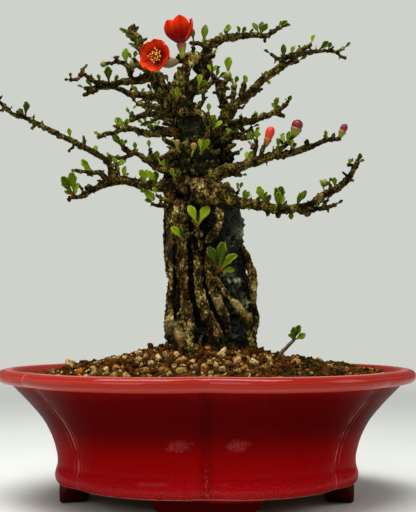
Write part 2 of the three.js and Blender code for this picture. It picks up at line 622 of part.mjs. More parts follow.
        route: [[11, 1, 229], [15, -1, 235], [18, -3, 239], [25, -6, 243], [30, -8, 248], [35, -10, 253],
          [40, -12, 256], [45, -14, 259], [46, -15, 263], [50, -16, 265], [56, -17, 266], [63, -18, 267]] },
      { thick: [2.6, 2.5, 2.4, 2.2], route: [[12, 1, 232], [11, 1, 238], [9, 0, 245], [8, 0, 252]] },
      { thick: [1.8, 1], route: [[8, 0, 251], [5, -2, 254], [3, -4, 258]] },
      { thick: [1.6, 1.2], route: [[8, 0, 250], [12, 0, 253], [13, 0, 257]] },
      { thick: [1.1, 0.8], route: [[62, -18, 267], [68, -19, 267], [73, -20, 267], [77, -21, 266], [81, -21, 268]] },
      { thick: [0.9, 0.7], route: [[76, -21, 266], [79, -21, 264], [82, -22, 262]] },
      { thick: [1.2, 0.9], route: [[55, -17, 266], [58, -17, 269], [62, -18, 271]] },
      { thick: [1.4, 1], route: [[44, -14, 258], [51, -12, 262], [55, -11, 263]] },
      { thick: [1.3, 1], route: [[46, -15, 264], [43, -13, 264], [39, -12, 267]] },
      { thick: [1.3, 1.4], route: [[15, -1, 235], [16, 2, 244], [17, 2, 251]] },
    ],
    buds: [[[13, 0, 257], 2.4], [[17, 2, 251], 1.9]],
    tufts: [
      [[13, 0, 256], [1, 13]], [[3, -4, 257], [-2, 6], [3, 5]], [[17, 2, 251], [-3, 5], [2, 6]],
      [[23, -5, 242], [0, 10]], [[17, -2, 237], [6, 4]], [[46, -15, 262], [0, 10]], [[50, -16, 265], [2, 6]],
      [[55, -11, 263], [6, 3]], [[62, -18, 271], [3, 6]], [[66, -19, 267], [7, 6]], [[72, -20, 267], [2, 5]],
      [[35, -10, 253], [3, -5]], [[39, -12, 267], [-5, 2]], [[81, -21, 268], [5, 3]],
    ],
  },
  branch_mid_right: {
    seed: 15,
    stems: [
      { thick: [3, 2.5, 2.2, 2, 1.8, 1.6, 1.5, 1.3, 1.1],
        route: [[7, 4, 221], [17, 9, 228], [24, 10, 230], [29, 11, 231], [34, 11, 233], [38, 12, 234], [43, 12, 237],
          [47, 12, 239], [50, 12, 242]] },
      { thick: [1.4, 1.2], route: [[42, 12, 236], [48, 12, 234]] },
      { thick: [1.2, 0.9], route: [[19, 10, 229], [24, 11, 224], [28, 12, 227]] },
    ],
    tufts: [[[43, 12, 237], [2, 9], [-2, 6]], [[50, 12, 242], [3, 5]], [[29, 11, 231], [2, 6]],
      [[28, 12, 227], [5, 1]]],
  },
  branch_back_right: {
    seed: 16,
    stems: [{ thick: [3.2, 2.7, 2.2, 1.8, 1.5],
      route: [[-2, 5, 220], [10, 24, 224], [19, 36, 226], [26, 44, 226], [32, 52, 230]] },
    { thick: [1.5, 1], route: [[19, 36, 226], [18, 46, 232], [22, 56, 236]] }],
    tufts: [[[31, 51, 230], [4, 4], [5, -1]], [[19, 36, 226], [1, 6]], [[22, 56, 236], [3, 6], [-3, 5]]],
  },
  branch_back_top: {
    seed: 17,
    stems: [{ thick: [3, 2.4, 2, 1.6, 1.2],
      route: [[-8, 3, 251], [-8, 16, 252], [-4, 29, 254], [1, 41, 260], [6, 49, 266]] },
    { thick: [1.5, 1], route: [[-4, 29, 254], [-10, 37, 258], [-13, 44, 264]] }],
    tufts: [[[6, 49, 266], [2, 7], [7, 3]], [[-13, 44, 264], [-4, 6], [2, 6]], [[-8, 16, 252], [-3, 6]]],
  },
  branch_back_low: {
    seed: 18,
    stems: [{ thick: [3.4, 2.8, 2.2, 1.8, 1.4],
      route: [[-10, 2, 213], [-14, 20, 213], [-18, 34, 212], [-20, 47, 216], [-24, 60, 222]] },
    { thick: [1.6, 1], route: [[-18, 34, 212], [-8, 44, 213], [0, 54, 217]] }],
    tufts: [[[-24, 60, 222], [-5, 6], [2, 7]], [[0, 54, 217], [5, 6], [-2, 7]], [[-20, 47, 216], [-5, 5]]],
  },
  branch_bud_right: {
    seed: 19,
    stems: [
      { thick: [4, 3.4, 2.9, 2.6, 2.4, 2.2, 2, 1.8, 1.5, 1.3, 1.1],
        route: [[-1, -16, 191], [8, -18, 194], [17, -17, 197], [25, -16, 200], [34, -15, 203], [39, -14, 205],
          [48, -13, 206], [57, -12, 209], [63, -11, 211], [72, -10, 215], [78, -9, 216]] },
      { thick: [1.7, 1.3], route: [[38, -14, 204], [43, -16, 208], [48, -17, 212], [51, -18, 216]] },
      { thick: [1.3, 1.1], route: [[32, -15, 202], [33, -18, 208], [35, -19, 212]] },
      { thick: [1.3, 1.1], route: [[27, -15, 201], [29, -13, 208], [30, -13, 214]] },
      { thick: [1.3, 1], route: [[15, -17, 196], [17, -16, 193], [20, -16, 193]] },
    ],
    thorns: [[[36, -15, 203], [0, -1, -5]]],
    tufts: [[[25, -16, 200], [-2, 8], [2, 8]], [[30, -13, 213], [-5, 6], [0, 8]], [[43, -16, 208], [-1, 7]],
      [[47, -17, 211], [-3, 7], [3, 8]], [[50, -13, 207], [4, 6]], [[72, -10, 215], [0, 6]],
      [[20, -16, 193], [4, 0]]],
  },
  branch_low_right: {
    seed: 20,
    stems: [
      { thick: [5.6, 3.8, 2.9, 2.6, 2.5, 2.5, 2.4, 2.2, 1.8, 1.7, 2, 1.8, 1.6, 1.4, 1.1],
        route: [[8, -17, 184], [14, -18, 179], [20, -19, 176], [28, -20, 175], [36, -21, 173], [42, -22, 172],
          [47, -23, 172], [56, -24, 173], [61, -25, 175], [67, -26, 179], [72, -27, 182], [77, -28, 184],
          [82, -29, 189], [86, -30, 195], [88, -30, 200]] },
      { thick: [2, 1.6, 1.3, 1.1, 0.9],
        route: [[53, -24, 173], [58, -23, 170], [64, -22, 172], [70, -21, 173], [76, -20, 175]] },
    ],
    buds: [[[42, -23, 169], 2.2], [[36, -21, 170], 1.8], [[69, -27, 187], 1.9], [[59, -23, 170], 2.5]],
    tufts: [
      [[20, -19, 176], [1, 8], [5, 8]], [[35, -21, 173], [-6, 12], [2, 10], [-7, 7]],
      [[42, -22, 172], [-2, 13], [2, 14], [6, 13], [8, 8]], [[53, -24, 173], [1, 11], [7, 9]],
      [[69, -27, 181], [-2, 8]], [[75, -28, 183], [-1, 7]], [[88, -30, 198], [1, 6], [4, 3]],
      [[81, -29, 188], [5, 0]], [[63, -22, 171], [-3, 6], [3, 6]], [[24, -19, 176], [0, -6]],
      [[49, -23, 173], [1, -7]], [[76, -20, 175], [5, 2]],
    ],
  },
};

// Young shoots on the old wood: a short green foot and its leaves
const sprouts = {
  sprout_fork: { seed: 21, foot: [[-18, -6, 238], [-18, -13, 239]], tips: [[2, 8], [-4, 6]] },
  sprout_wound: { seed: 22, foot: [[3, -1, 218], [4, -9, 222]], tips: [[1, 9], [5, 5]] },
  sprout_crown: { seed: 23, foot: [[-5, 1, 247], [-5, -7, 247]], tips: [[1, 9], [5, 5]] },
  sprout_middle: { seed: 24, foot: [[-6, -10, 203], [-6, -21, 205]], tips: [[-1, 9], [6, 8]] },
  sprout_shoulder_left: { seed: 25, foot: [[-17, -10, 189], [-19, -17, 190]], tips: [[-2, 7], [4, 5]] },
  sprout_bole: { seed: 26, foot: [[-6, -12, 162], [-7, -22, 163]], tips: [[-4, 11], [8, 11], [1, 8]] },
  sprout_root_left: { seed: 27, foot: [[-13, -13, 153], [-14, -22, 154]], tips: [[-7, 8], [-2, 8]] },
  sprout_root_right: { seed: 28, foot: [[3, -12, 136], [5, -20, 137]], tips: [[-5, 12], [5, 12], [9, 6]] },
};

function sprout({ seed, foot, tips }, grow) {
  const tip = foot[1];
  return joined([stem(foot, [1.5, 1.1], 3, grow), ...tuft([tip, ...tips], seededRandom(seed), grow)]);
}

// Small closed buds on stalks of their own
const stalkBuds = {
  bud_pale: { route: [[-15, -14, 203], [-17, -22, 206], [-18, -24, 210]], size: [2.4, 2.4, 3.6], color: 'calyx' },
  bud_pink: { route: [[-8, -14, 200], [-9, -23, 203], [-8, -25, 208]], size: [2.6, 2.6, 4], color: 'bud' },
  bud_root: { route: [[8, -11, 133], [10, -19, 134], [10, -20, 135]], size: [1.9, 1.9, 2.6], color: 'bud' },
};

function stalkBud({ route, size }, grow) {
  const [x, y, z] = route[route.length - 1];
  return joined([stem(route, [1.3, 1, 1.1], 3, grow), knob([x, y, z + size[2] * 0.7], size, grow, 0)]);
}

// Flower buds: a red head of folded petals in a green cup
const flowerBuds = {
  flower_bud_a: { cup: [35, -19, 213], tip: [38, -20, 224], radius: 3 },
  flower_bud_b: { cup: [51, -18, 217], tip: [54, -19, 227], radius: 3.3 },
  flower_bud_c: { cup: [79, -9, 217], tip: [84, -10, 226], radius: 2.4 },
};

// Turns a shape that stands on the origin along +Y so that it runs from one point to another
function standing(geometry, from, to) {
  const way = vector(to).sub(vector(from)).normalize();
  return geometry.applyQuaternion(new THREE.Quaternion().setFromUnitVectors(yAxis, way)).translate(...from);
}

const cupDepth = 3.2;
const headSink = 0.6;
const headProfile = [[0, 0], [0.75, 0.2], [1, 0.4], [0.96, 0.6], [0.6, 0.85], [0, 1]];
const petalFold = 0.14;

function budCup({ cup, tip, radius }, grow) {
  const profile = [[0, -1.2], [0.9, -1], [radius * 0.62, cupDepth * 0.4], [radius * 0.8, cupDepth], [0, cupDepth]];
  const points = profile.map(([x, y], i) => {
    const isEnd = i === 0 || i === profile.length - 1;
    return new THREE.Vector2(isEnd ? 0 : x + grow, y + (i > 2 ? grow : -grow));
  });
  return solidOf(standing(new THREE.LatheGeometry(points, 6), cup, tip));
}

function budHead({ cup, tip, radius }, grow) {
  const length = vector(tip).distanceTo(vector(cup));
  const points = headProfile.map(([x, y]) => {
    const height = Math.max(cupDepth - headSink, y * length);
    const over = y === 0 ? -grow : y === 1 ? grow : 0;
    return new THREE.Vector2(x === 0 ? 0 : x * radius + grow, height + over);
  });
  const head = new THREE.LatheGeometry(points, 7);
  const places = head.getAttribute('position');
  for (let i = 0; i < places.count; i++) {
    const turn = Math.atan2(places.getZ(i), places.getX(i));
    const fold = 1 + petalFold * Math.sin(3 * turn + places.getY(i) * 0.5);
    places.setX(i, places.getX(i) * fold);
    places.setZ(i, places.getZ(i) * fold);
  }
  return solidOf(standing(head, cup, tip));
}

// Open flowers: where the cup sits, where the flower faces, how far its petals lean out
const blooms = {
  bloom_front: { stalk: [-13, -6, 260], cup: [-21, -14, 262], face: [-0.68, -0.72, 0.1], lean: 1.02, length: 11.5,
    width: 11, turn: 0.3 },
  bloom_top: { stalk: [-13, -5, 267], cup: [-16, -7, 274], face: [-0.14, -0.12, 0.98], lean: 0.6, length: 12.5,
    width: 9, turn: 0.7 },
};
const petalCount = 5;
const stamenCount = 6;
const bloomCup = { radius: 2.6, depth: 5.2 };

// Four axes of a bloom: where its petals spring from, and the directions across and along it
function bloomFrame({ cup, face }) {
  const axis = vector(face).normalize();
  const side = new THREE.Vector3(0, 0, 1).cross(axis);
  if (side.length() < 0.4) side.set(1, 0, 0).addScaledVector(axis, -axis.x);
  side.normalize();
  return { axis, side, other: axis.clone().cross(side), throat: vector(cup).addScaledVector(axis, bloomCup.depth) };
}

function bloomCalyx(bloom, grow) {
  const { axis } = bloomFrame(bloom);
  const { radius, depth } = bloomCup;
  const profile = [[0, -0.8], [1.2, -0.6], [radius * 0.8, depth * 0.45], [radius, depth], [0, depth]];
  const points = profile.map(([x, y], i) => {
    const isEnd = i === 0 || i === profile.length - 1;
    return new THREE.Vector2(isEnd ? 0 : x + grow, y + (i > 2 ? grow : -grow));
  });
  const to = vector(bloom.cup).add(axis).toArray();
  const cup = solidOf(standing(new THREE.LatheGeometry(points, 6), bloom.cup, to));
  return joined([cup, stem([bloom.stalk, bloom.cup], [1.5, 1.5], 4, grow)]);
}

function bloomPetals(bloom, grow) {
  const { axis, side, other, throat } = bloomFrame(bloom);
  const { length, lean } = bloom;
  const seat = throat.clone().addScaledVector(axis, 0.9);
  const outAt = (turn) => side.clone().multiplyScalar(Math.cos(turn)).addScaledVector(other, Math.sin(turn));
  const slice = (2 * Math.PI) / petalCount;
  const hub = [];
  const blades = [];
  for (let i = 0; i < petalCount; i++) {
    const turn = bloom.turn + i * slice;
    const radius = bloomCup.radius + grow;
    hub.push(seat.clone().addScaledVector(outAt(turn - slice / 2), radius));
    const row = (reach, half, rise) => {
      const along = reach * length;
      const outward = bloomCup.radius * 0.8 + along * Math.sin(lean);
      const upward = along * Math.cos(lean) + rise;
      const across = outAt(turn + Math.PI / 2);
      return half.map((part) => seat.clone().addScaledVector(outAt(turn), outward)
        .addScaledVector(axis, upward + Math.abs(part) * 1.4)
        .addScaledVector(across, -part * (bloom.width / 2 + grow)));
    };
    blades.push([row(0.4, [-0.62, 0, 0.62], -0.6), row(0.76, [-0.95, 0, 0.95], 0), row(1, [-0.45, 0.45], 1)]);
  }
  return bladedPlate(hub, blades, axis, blade + 2 * grow);
}

function bloomStamens(bloom, grow) {
  const { axis, side, other, throat } = bloomFrame(bloom);
  const random = seededRandom(41);
  const heart = throat.clone().addScaledVector(axis, 3);
  const parts = [knob(heart.toArray(), [1.5, 1.5, 1.5], grow, 0)];
  for (let i = 0; i < stamenCount; i++) {
    const turn = i * goldenTurn;
    const spread = 0.18 + 0.62 * Math.sqrt(i / stamenCount);
    const reach = 3.6 + 1.4 * random();
    const way = axis.clone().multiplyScalar(Math.cos(spread))
      .addScaledVector(side, Math.sin(spread) * Math.cos(turn))
      .addScaledVector(other, Math.sin(spread) * Math.sin(turn));
    const end = heart.clone().addScaledVector(way, reach);
    const club = new THREE.CylinderGeometry(0.75 + grow, 0.4 + grow, reach + grow, 3);
    parts.push(solidOf(standing(club.translate(0, reach / 2, 0), heart.toArray(), end.toArray())));
  }
  return joined(parts);
}

// Sucker: a young shoot that comes up through the soil at the right
const sucker = {
  seed: 33,
  stems: [{ thick: [1.3, 1.3, 1.1, 0.9], route: [[42, -18, 76], [43, -18, 86], [47, -18, 91], [51, -18, 95]] }],
  tufts: [[[51, -18, 95], [-1, 9], [4, 9], [7, 4]]],
};

// Every piece is cut back by the fuller form of those before it, so that a fine gap stays between them
const placed = [];

function fitted(build) {
  let solid = build(0);
  const fuller = build(clearance);
  for (const other of placed) {
    if (!solid.intersect(other).isEmpty()) solid = solid.subtract(other);
  }
  placed.push(fuller);
  return largestBody(solid);
}

const group = new THREE.Group();

function addPiece(name, solid, colour) {
  const mesh = new THREE.Mesh(geometryOf(solid), new THREE.MeshStandardMaterial(colours[colour]));
  mesh.name = name;
  group.add(mesh);
}

addPiece('trunk_and_roots', fitted(makeTrunk), 'bark');
for (const [name, bloom] of Object.entries(blooms)) {
  addPiece(`${name}_calyx`, fitted((grow) => bloomCalyx(bloom, grow)), 'calyx');
  addPiece(`${name}_petals`, fitted((grow) => bloomPetals(bloom, grow)), 'petal');
  addPiece(`${name}_stamens`, fitted((grow) => bloomStamens(bloom, grow)), 'stamen');
}
for (const [name, bud] of Object.entries(flowerBuds)) {
  addPiece(`${name}_cup`, fitted((grow) => budCup(bud, grow)), 'calyx');
  addPiece(`${name}_head`, fitted((grow) => budHead(bud, grow)), 'bud');
}
for (const [name, parts] of Object.entries(branches)) {
  addPiece(name, fitted((grow) => branch(parts, grow)), 'twig');
}
for (const [name, parts] of Object.entries(sprouts)) {
  addPiece(name, fitted((grow) => sprout(parts, grow)), 'leaf');
}
for (const [name, parts] of Object.entries(stalkBuds)) {
  addPiece(name, fitted((grow) => stalkBud(parts, grow)), parts.color);
}
addPiece('sucker', fitted((grow) => branch(sucker, grow)), 'leaf');
addPiece('rock', fitted(makeRock), 'rock');
addPiece('soil', fitted(() => makeSoil()), 'soil');
addPiece('pot', makePot(), 'glaze');
addPiece('drain_screen_left', makeScreen(-1), 'screen');
addPiece('drain_screen_right', makeScreen(1), 'screen');

export default group;
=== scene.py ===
import json
import math
import random

import bmesh
import bpy
import numpy as np
from mathutils import Matrix, Quaternion, Vector, noise
from mathutils.bvhtree import BVHTree

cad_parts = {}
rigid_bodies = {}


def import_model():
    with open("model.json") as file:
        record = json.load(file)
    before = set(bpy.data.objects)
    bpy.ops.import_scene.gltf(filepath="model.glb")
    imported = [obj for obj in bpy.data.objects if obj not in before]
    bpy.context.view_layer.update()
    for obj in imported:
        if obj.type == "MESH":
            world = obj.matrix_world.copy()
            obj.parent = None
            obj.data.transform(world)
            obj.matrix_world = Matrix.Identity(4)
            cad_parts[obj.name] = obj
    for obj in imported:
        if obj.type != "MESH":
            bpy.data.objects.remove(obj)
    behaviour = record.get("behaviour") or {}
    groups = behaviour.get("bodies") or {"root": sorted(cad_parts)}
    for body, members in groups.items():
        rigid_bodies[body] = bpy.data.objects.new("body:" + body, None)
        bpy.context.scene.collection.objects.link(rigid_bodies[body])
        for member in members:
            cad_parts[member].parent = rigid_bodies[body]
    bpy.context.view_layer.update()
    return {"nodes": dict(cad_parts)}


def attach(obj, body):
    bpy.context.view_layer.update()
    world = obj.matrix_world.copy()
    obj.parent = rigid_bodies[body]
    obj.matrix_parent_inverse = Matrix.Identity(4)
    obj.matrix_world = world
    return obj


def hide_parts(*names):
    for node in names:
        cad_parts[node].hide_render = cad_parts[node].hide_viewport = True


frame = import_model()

noise.seed_set(5)  # else noise_vector starts from the clock, and each run differs a little
mm = 0.001
goldenTurn = 2.39996


# Colours as they look on a screen, 0 to 255, turned to light values
def tint(red, green, blue):
    def light(part):
        part /= 255
        return part / 12.92 if part <= 0.04045 else ((part + 0.055) / 1.055) ** 2.4
    return (light(red), light(green), light(blue), 1)


def between(low, high, part):
    return low + (high - low) * part


def smooth(part):
    part = min(1, max(0, part))
    return part * part * (3 - 2 * part)


def mathOperator(kind, reflected=False):  # an operator that adds a Math node of this kind
    def applied(flow, other):
        first, second = (other, flow) if reflected else (flow, other)
        return flow.tree.node("ShaderNodeMath", {"operation": kind}, {0: first, 1: second})
    return applied


class Flow:  # a socket that can stand in a sum
    def __init__(self, tree, socket):
        self.tree = tree
        self.socket = socket

    __add__, __radd__ = mathOperator("ADD"), mathOperator("ADD", True)
    __sub__, __rsub__ = mathOperator("SUBTRACT"), mathOperator("SUBTRACT", True)
    __mul__, __rmul__ = mathOperator("MULTIPLY"), mathOperator("MULTIPLY", True)
    __truediv__, __rtruediv__ = mathOperator("DIVIDE"), mathOperator("DIVIDE", True)


class Tree:  # a node tree that is built by expressions
    def __init__(self, tree):
        self.tree = tree

    def node(self, kind, settings=None, inputs=None, out=0):
        made = self.tree.nodes.new(kind)
        for key, value in (settings or {}).items():
            if key == "stops":
                self.setStops(made.color_ramp, value)
            else:
                setattr(made, key, value)
        for key, value in (inputs or {}).items():
            if isinstance(value, Flow):
                self.tree.links.new(value.socket, made.inputs[key])
            else:
                made.inputs[key].default_value = value
        return Flow(self, made.outputs[out])

    def math(self, kind, value):
        return self.node("ShaderNodeMath", {"operation": kind}, {0: value})

    def setStops(self, ramp, stops):
        while len(ramp.elements) < len(stops):
            ramp.elements.new(1)
        for element, (place, *colour) in zip(ramp.elements, stops):
            element.position = place
            element.color = tint(*colour)


class Finish(Tree):  # a material with its shader, and the few nodes that every finish uses
    def __init__(self, name, **uniform):
        self.material = bpy.data.materials.new(name)
        self.material.use_nodes = True
        super().__init__(self.material.node_tree)
        self.shader = self.tree.nodes["Principled BSDF"]
        for key, value in uniform.items():
            self.shader.inputs[key.replace("_", " ")].default_value = value

    def place(self, scale=(1, 1, 1)):
        here = self.node("ShaderNodeTexCoord", out="Object")
        return self.node("ShaderNodeMapping", {}, {"Vector": here, "Scale": scale})

    def axis(self, letter):
        return self.node("ShaderNodeSeparateXYZ", {}, {0: self.place()}, out=letter)

    def uv(self, letter):
        here = self.node("ShaderNodeTexCoord", out="UV")
        return self.node("ShaderNodeSeparateXYZ", {}, {0: here}, out=letter)

    def marked(self, name):
        return self.node("ShaderNodeAttribute", {"attribute_name": name}, out="Fac")

    def noise(self, scale, detail=4, rough=0.55, stretch=(1, 1, 1)):
        return self.node("ShaderNodeTexNoise", {}, {
            "Vector": self.place(stretch), "Scale": scale, "Detail": detail, "Roughness": rough}, out="Fac")

    def cells(self, scale):
        return self.node("ShaderNodeTexVoronoi", {}, {"Vector": self.place(), "Scale": scale}, out="Distance")

    def ramp(self, value, *stops):  # each stop is its place and its colour as it looks on a screen
        return self.node("ShaderNodeValToRGB", {"stops": stops}, {0: value})

    def level(self, value, low, high):
        return self.node("ShaderNodeMapRange", {"interpolation_type": "SMOOTHSTEP"},
                         {"Value": value, "From Min": low, "From Max": high})

    def mix(self, part, first, second, blend="MIX"):
        return self.node("ShaderNodeMix", {"data_type": "RGBA", "blend_type": blend},
                         {0: part, 6: first, 7: second}, out=2)

    def painted(self, colour, *coats):  # coats over a colour, each a mask and its colour on a screen
        for mask, *coat in coats:
            colour = self.mix(mask, colour, tint(*coat))
        return colour

    def bump(self, height, strength, distance):
        return self.node("ShaderNodeBump", {}, {"Height": height, "Strength": strength, "Distance": distance})

    def wear(self, **linked):
        for key, value in linked.items():
            self.tree.links.new(value.socket, self.shader.inputs[key.replace("_", " ")])
        return self.material


# Camera at the photograph's place, a pale floor and soft light from above
staging = {
    "cameraPlace": (0.00075, -0.62, 0.11), "cameraPitch": 3.3, "lens": 71.8, "sensor": 36, "nearest": 0.01,
    "backdrop": tint(206, 210, 203), "floorReach": 4.0,
    "floorStops": ((0.3, 212, 214, 209), (0.7, 216, 218, 213)),
    "fadeFrom": 0.35, "fadeTo": 1.3, "ambient": 0.34,
    # place, aim, size and power
    "lamps": {"overhead": ((-0.12, -0.22, 0.95), (0, 0, 0.15), (0.8, 0.5), 15),
              "frontFill": ((-0.5, -1.1, 0.6), (0, 0, 0.12), (0.7, 0.5), 3.2),
              "sideFill": ((0.9, -0.2, 0.6), (0, 0, 0.15), (0.5, 0.5), 2)},
}


def placed(name, data):  # a new object in the scene
    made = bpy.data.objects.new(name, data)
    bpy.context.scene.collection.objects.link(made)
    return made


def meshOf(name, verts, faces):
    mesh = bpy.data.meshes.new(name)
    mesh.from_pydata(verts, [], faces)
    return mesh


def addCamera():
    data = bpy.data.cameras.new("camera")
    data.sensor_width = staging["sensor"]
    data.lens = staging["lens"]
    data.clip_start = staging["nearest"]
    camera = placed("camera", data)
    camera.location = staging["cameraPlace"]
    camera.rotation_euler = (math.radians(90 + staging["cameraPitch"]), 0, 0)
    bpy.context.scene.camera = camera


def addLamp(name, place, aim, size, power):
    data = bpy.data.lights.new(name, "AREA")
    data.shape = "RECTANGLE"
    data.size, data.size_y = size
    data.energy = power
    lamp = placed(name, data)
    lamp.location = place
    lamp.rotation_euler = (Vector(aim) - Vector(place)).to_track_quat("-Z", "Y").to_euler()


def addWorld():
    world = bpy.data.worlds.new("softRoom")
    world.use_nodes = True
    bpy.context.scene.world = world
    tree = Tree(world.node_tree)
    background = world.node_tree.nodes["Background"]
    seen = tree.node("ShaderNodeLightPath", out="Is Camera Ray")
    strength = seen * (1 - staging["ambient"]) + staging["ambient"]
    background.inputs["Color"].default_value = staging["backdrop"]
    world.node_tree.links.new(strength.socket, background.inputs["Strength"])


def addFloor():
    reach = staging["floorReach"]
    corners = [(-reach, -reach, 0), (reach, -reach, 0), (reach, reach, 0), (-reach, reach, 0)]
    floor = placed("floor", meshOf("floor", corners, [(0, 1, 2, 3)]))
    finish = Finish("paleFloor", Roughness=0.7)
    finish.wear(Base_Color=finish.ramp(finish.noise(6), *staging["floorStops"]))
    far = finish.node("ShaderNodeVectorMath", {"operation": "LENGTH"}, {0: finish.place()}, out="Value")
    glow = finish.node("ShaderNodeEmission", {}, {"Color": staging["backdrop"], "Strength": 1})
    part = finish.level(far, staging["fadeFrom"], staging["fadeTo"])
    shown = finish.node("ShaderNodeMixShader", {}, {
        0: part, 1: Flow(finish, finish.shader.outputs[0]), 2: glow})
    finish.tree.links.new(shown.socket, finish.tree.nodes["Material Output"].inputs["Surface"])
    floor.data.materials.append(finish.material)


addCamera()
for name, values in staging["lamps"].items():
    addLamp(name, *values)
addWorld()
addFloor()
bpy.context.scene.view_settings.view_transform = "Standard"
print("camera, light and floor")


# Tools that make pieces
def newPiece(name, mesh, material, slotName, *nodes):
    piece = placed(name, mesh)
    if material:
        mesh.materials.clear()
        mesh.materials.append(material)
    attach(piece, "root")
    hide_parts(*nodes)


def meshFrom(name, build):
    shape = bmesh.new()
    build(shape)
    bmesh.ops.recalc_face_normals(shape, faces=shape.faces)
    mesh = bpy.data.meshes.new(name)
    shape.to_mesh(mesh)
    shape.free()
    return mesh


def plainMesh(carrier, name):  # what the modifiers of an object make, and the object goes
    before = carrier.data
    graph = bpy.context.evaluated_depsgraph_get()
    result = bpy.data.meshes.new_from_object(carrier.evaluated_get(graph))
    bpy.data.objects.remove(carrier)
    bpy.data.meshes.remove(before)
    result.name = name
    return result


def settled(mesh, *modifiers):  # the mesh after its modifiers, each a kind and its settings
    carrier = placed("carrier", mesh)
    for kind, settings in modifiers:
        modifier = carrier.modifiers.new(kind.lower(), kind)
        for key, value in settings.items():
            setattr(modifier, key, value)
    return plainMesh(carrier, mesh.name)


def fused(name, build, voxel):  # one skin round all that is built
    return settled(meshFrom(name, build), ("REMESH", {"mode": "VOXEL", "voxel_size": voxel * mm}))


def thinned(mesh, share):  # the same form in fewer faces, kept finest where it bends most
    result = settled(mesh, ("DECIMATE", {"ratio": share}))
    result.shade_smooth()
    return result


def skinRings(shape, rings):  # walls between rings of points, and a lid at each end
    count = len(rings[0])
    for low, high in zip(rings, rings[1:]):
        for k in range(count):
            after = (k + 1) % count
            shape.faces.new((low[k], low[after], high[after], high[k]))
    shape.faces.new(list(reversed(rings[0])))
    shape.faces.new(rings[-1])


def bandFaces(low, high):  # the quads between two rings of point numbers
    afters = [(i + 1) % len(low) for i in range(len(low))]
    return [(low[i], low[after], high[after], high[i]) for i, after in enumerate(afters)]


def gridFaces(first, rows, wide):  # the quads of a sheet of point numbers
    starts = [first + row * wide + k for row in range(rows) for k in range(wide - 1)]
    return [(a, a + 1, a + wide + 1, a + wide) for a in starts]


def sheetMesh(name, uvName, verts, faces, uvs, *modifiers):
    mesh = meshOf(name, verts, faces)
    layer = mesh.uv_layers.new(name=uvName)
    for loop in mesh.loops:
        layer.data[loop.index].uv = uvs[loop.vertex_index]
    mesh = settled(mesh, *modifiers)
    mesh.shade_smooth()
    return mesh


def mark(mesh, name, values):
    layer = mesh.attributes.new(name, "FLOAT", "POINT")
    layer.data.foreach_set("value", np.asarray(values, np.float32))


def pointsOf(mesh):
    places = np.empty(len(mesh.vertices) * 3, np.float32)
    mesh.vertices.foreach_get("co", places)
    normals = np.empty(len(mesh.vertices) * 3, np.float32)
    mesh.vertex_normals.foreach_get("vector", normals)
    return places.reshape(-1, 3), normals.reshape(-1, 3)


def carved(mesh, reliefAt):  # moves each point along its normal, and keeps how high it came as relief
    places, normals = pointsOf(mesh)
    pairs = [reliefAt(Vector(place) / mm, Vector(normal)) for place, normal in zip(places, normals)]
    heights = np.array([pair[0] for pair in pairs], np.float32)
    mesh.vertices.foreach_set("co", (places + normals * heights[:, None] * mm).ravel())
    mark(mesh, "relief", [pair[1] for pair in pairs])
    mesh.update()
    mesh.shade_smooth()
    return mesh


def hollows(mesh, reach, *others, rays=9):  # how far each point lies in a hollow, 0 in the open to 1, which the finishes paint as shade
    places, normals = pointsOf(mesh)
    corners, walls = [], []
    for one in (mesh, *others):
        one.calc_loop_triangles()
        first = len(corners)
        corners += [vert.co for vert in one.vertices]
        walls += [[first + k for k in triangle.vertices] for triangle in one.loop_triangles]
    tree = BVHTree.FromPolygons(corners, walls)
    fan = []
    for i in range(rays):
        lift = 0.3 + 0.7 * (i + 0.5) / rays
        ring = math.sqrt(1 - lift * lift)
        fan.append((math.cos(i * goldenTurn) * ring, math.sin(i * goldenTurn) * ring, lift))
    shade = []
    for place, normal in zip(places, normals):
        up = Vector(normal)
        side = up.orthogonal().normalized()
        other = up.cross(side)
        start = Vector(place) + up * 0.4 * mm
        closed = 0
        for x, y, z in fan:
            hit = tree.ray_cast(start, side * x + other * y + up * z, reach * mm)
            if hit[0] is not None:
                closed += 1 - 0.5 * hit[3] / (reach * mm)
        shade.append(closed / rays)
    mark(mesh, "hollow", shade)
    return mesh


def alongRoute(route, thick, step):  # places and radii on a smooth line through the route's points
    knots = [Vector(point) for point in route]
    knots = [knots[0] * 2 - knots[1], *knots, knots[-1] * 2 - knots[-2]]
    last = len(route) - 1
    spots = []
    for i in range(last):
        a, b, c, d = knots[i:i + 4]
        count = max(2, round((c - b).length / step))
        for k in range(count + (i == last - 1)):
            t = k / count
            place = (b * 2 + (c - a) * t + (a * 2 - b * 5 + c * 4 - d) * t ** 2
                     + (b * 3 - a - c * 3 + d) * t ** 3) / 2
            reach = (i + t) / last * (len(thick) - 1)
            low = min(int(reach), len(thick) - 2)
            spots.append((place, between(thick[low], thick[low + 1], reach - low)))
    return spots


def addTube(shape, route, thick, sides=12, step=1.4, gnarl=0.0, pace=0.25):
    spots = alongRoute(route, thick, step)
    across = Vector((1, 0.3, 0.2))
    rings = []
    for i, (place, radius) in enumerate(spots):
        way = (spots[min(i + 1, len(spots) - 1)][0] - spots[max(i - 1, 0)][0]).normalized()
        across = (across - way * across.dot(way)).normalized()
        other = way.cross(across)
        ring = []
        for k in range(sides):
            turn = 2 * math.pi * k / sides
            out = across * math.cos(turn) + other * math.sin(turn)
            swell = 1 + gnarl * noise.noise(place * pace + out * 1.3)
            ring.append(shape.verts.new((place + out * radius * swell) * mm))
        rings.append(ring)
    skinRings(shape, rings)
    return spots


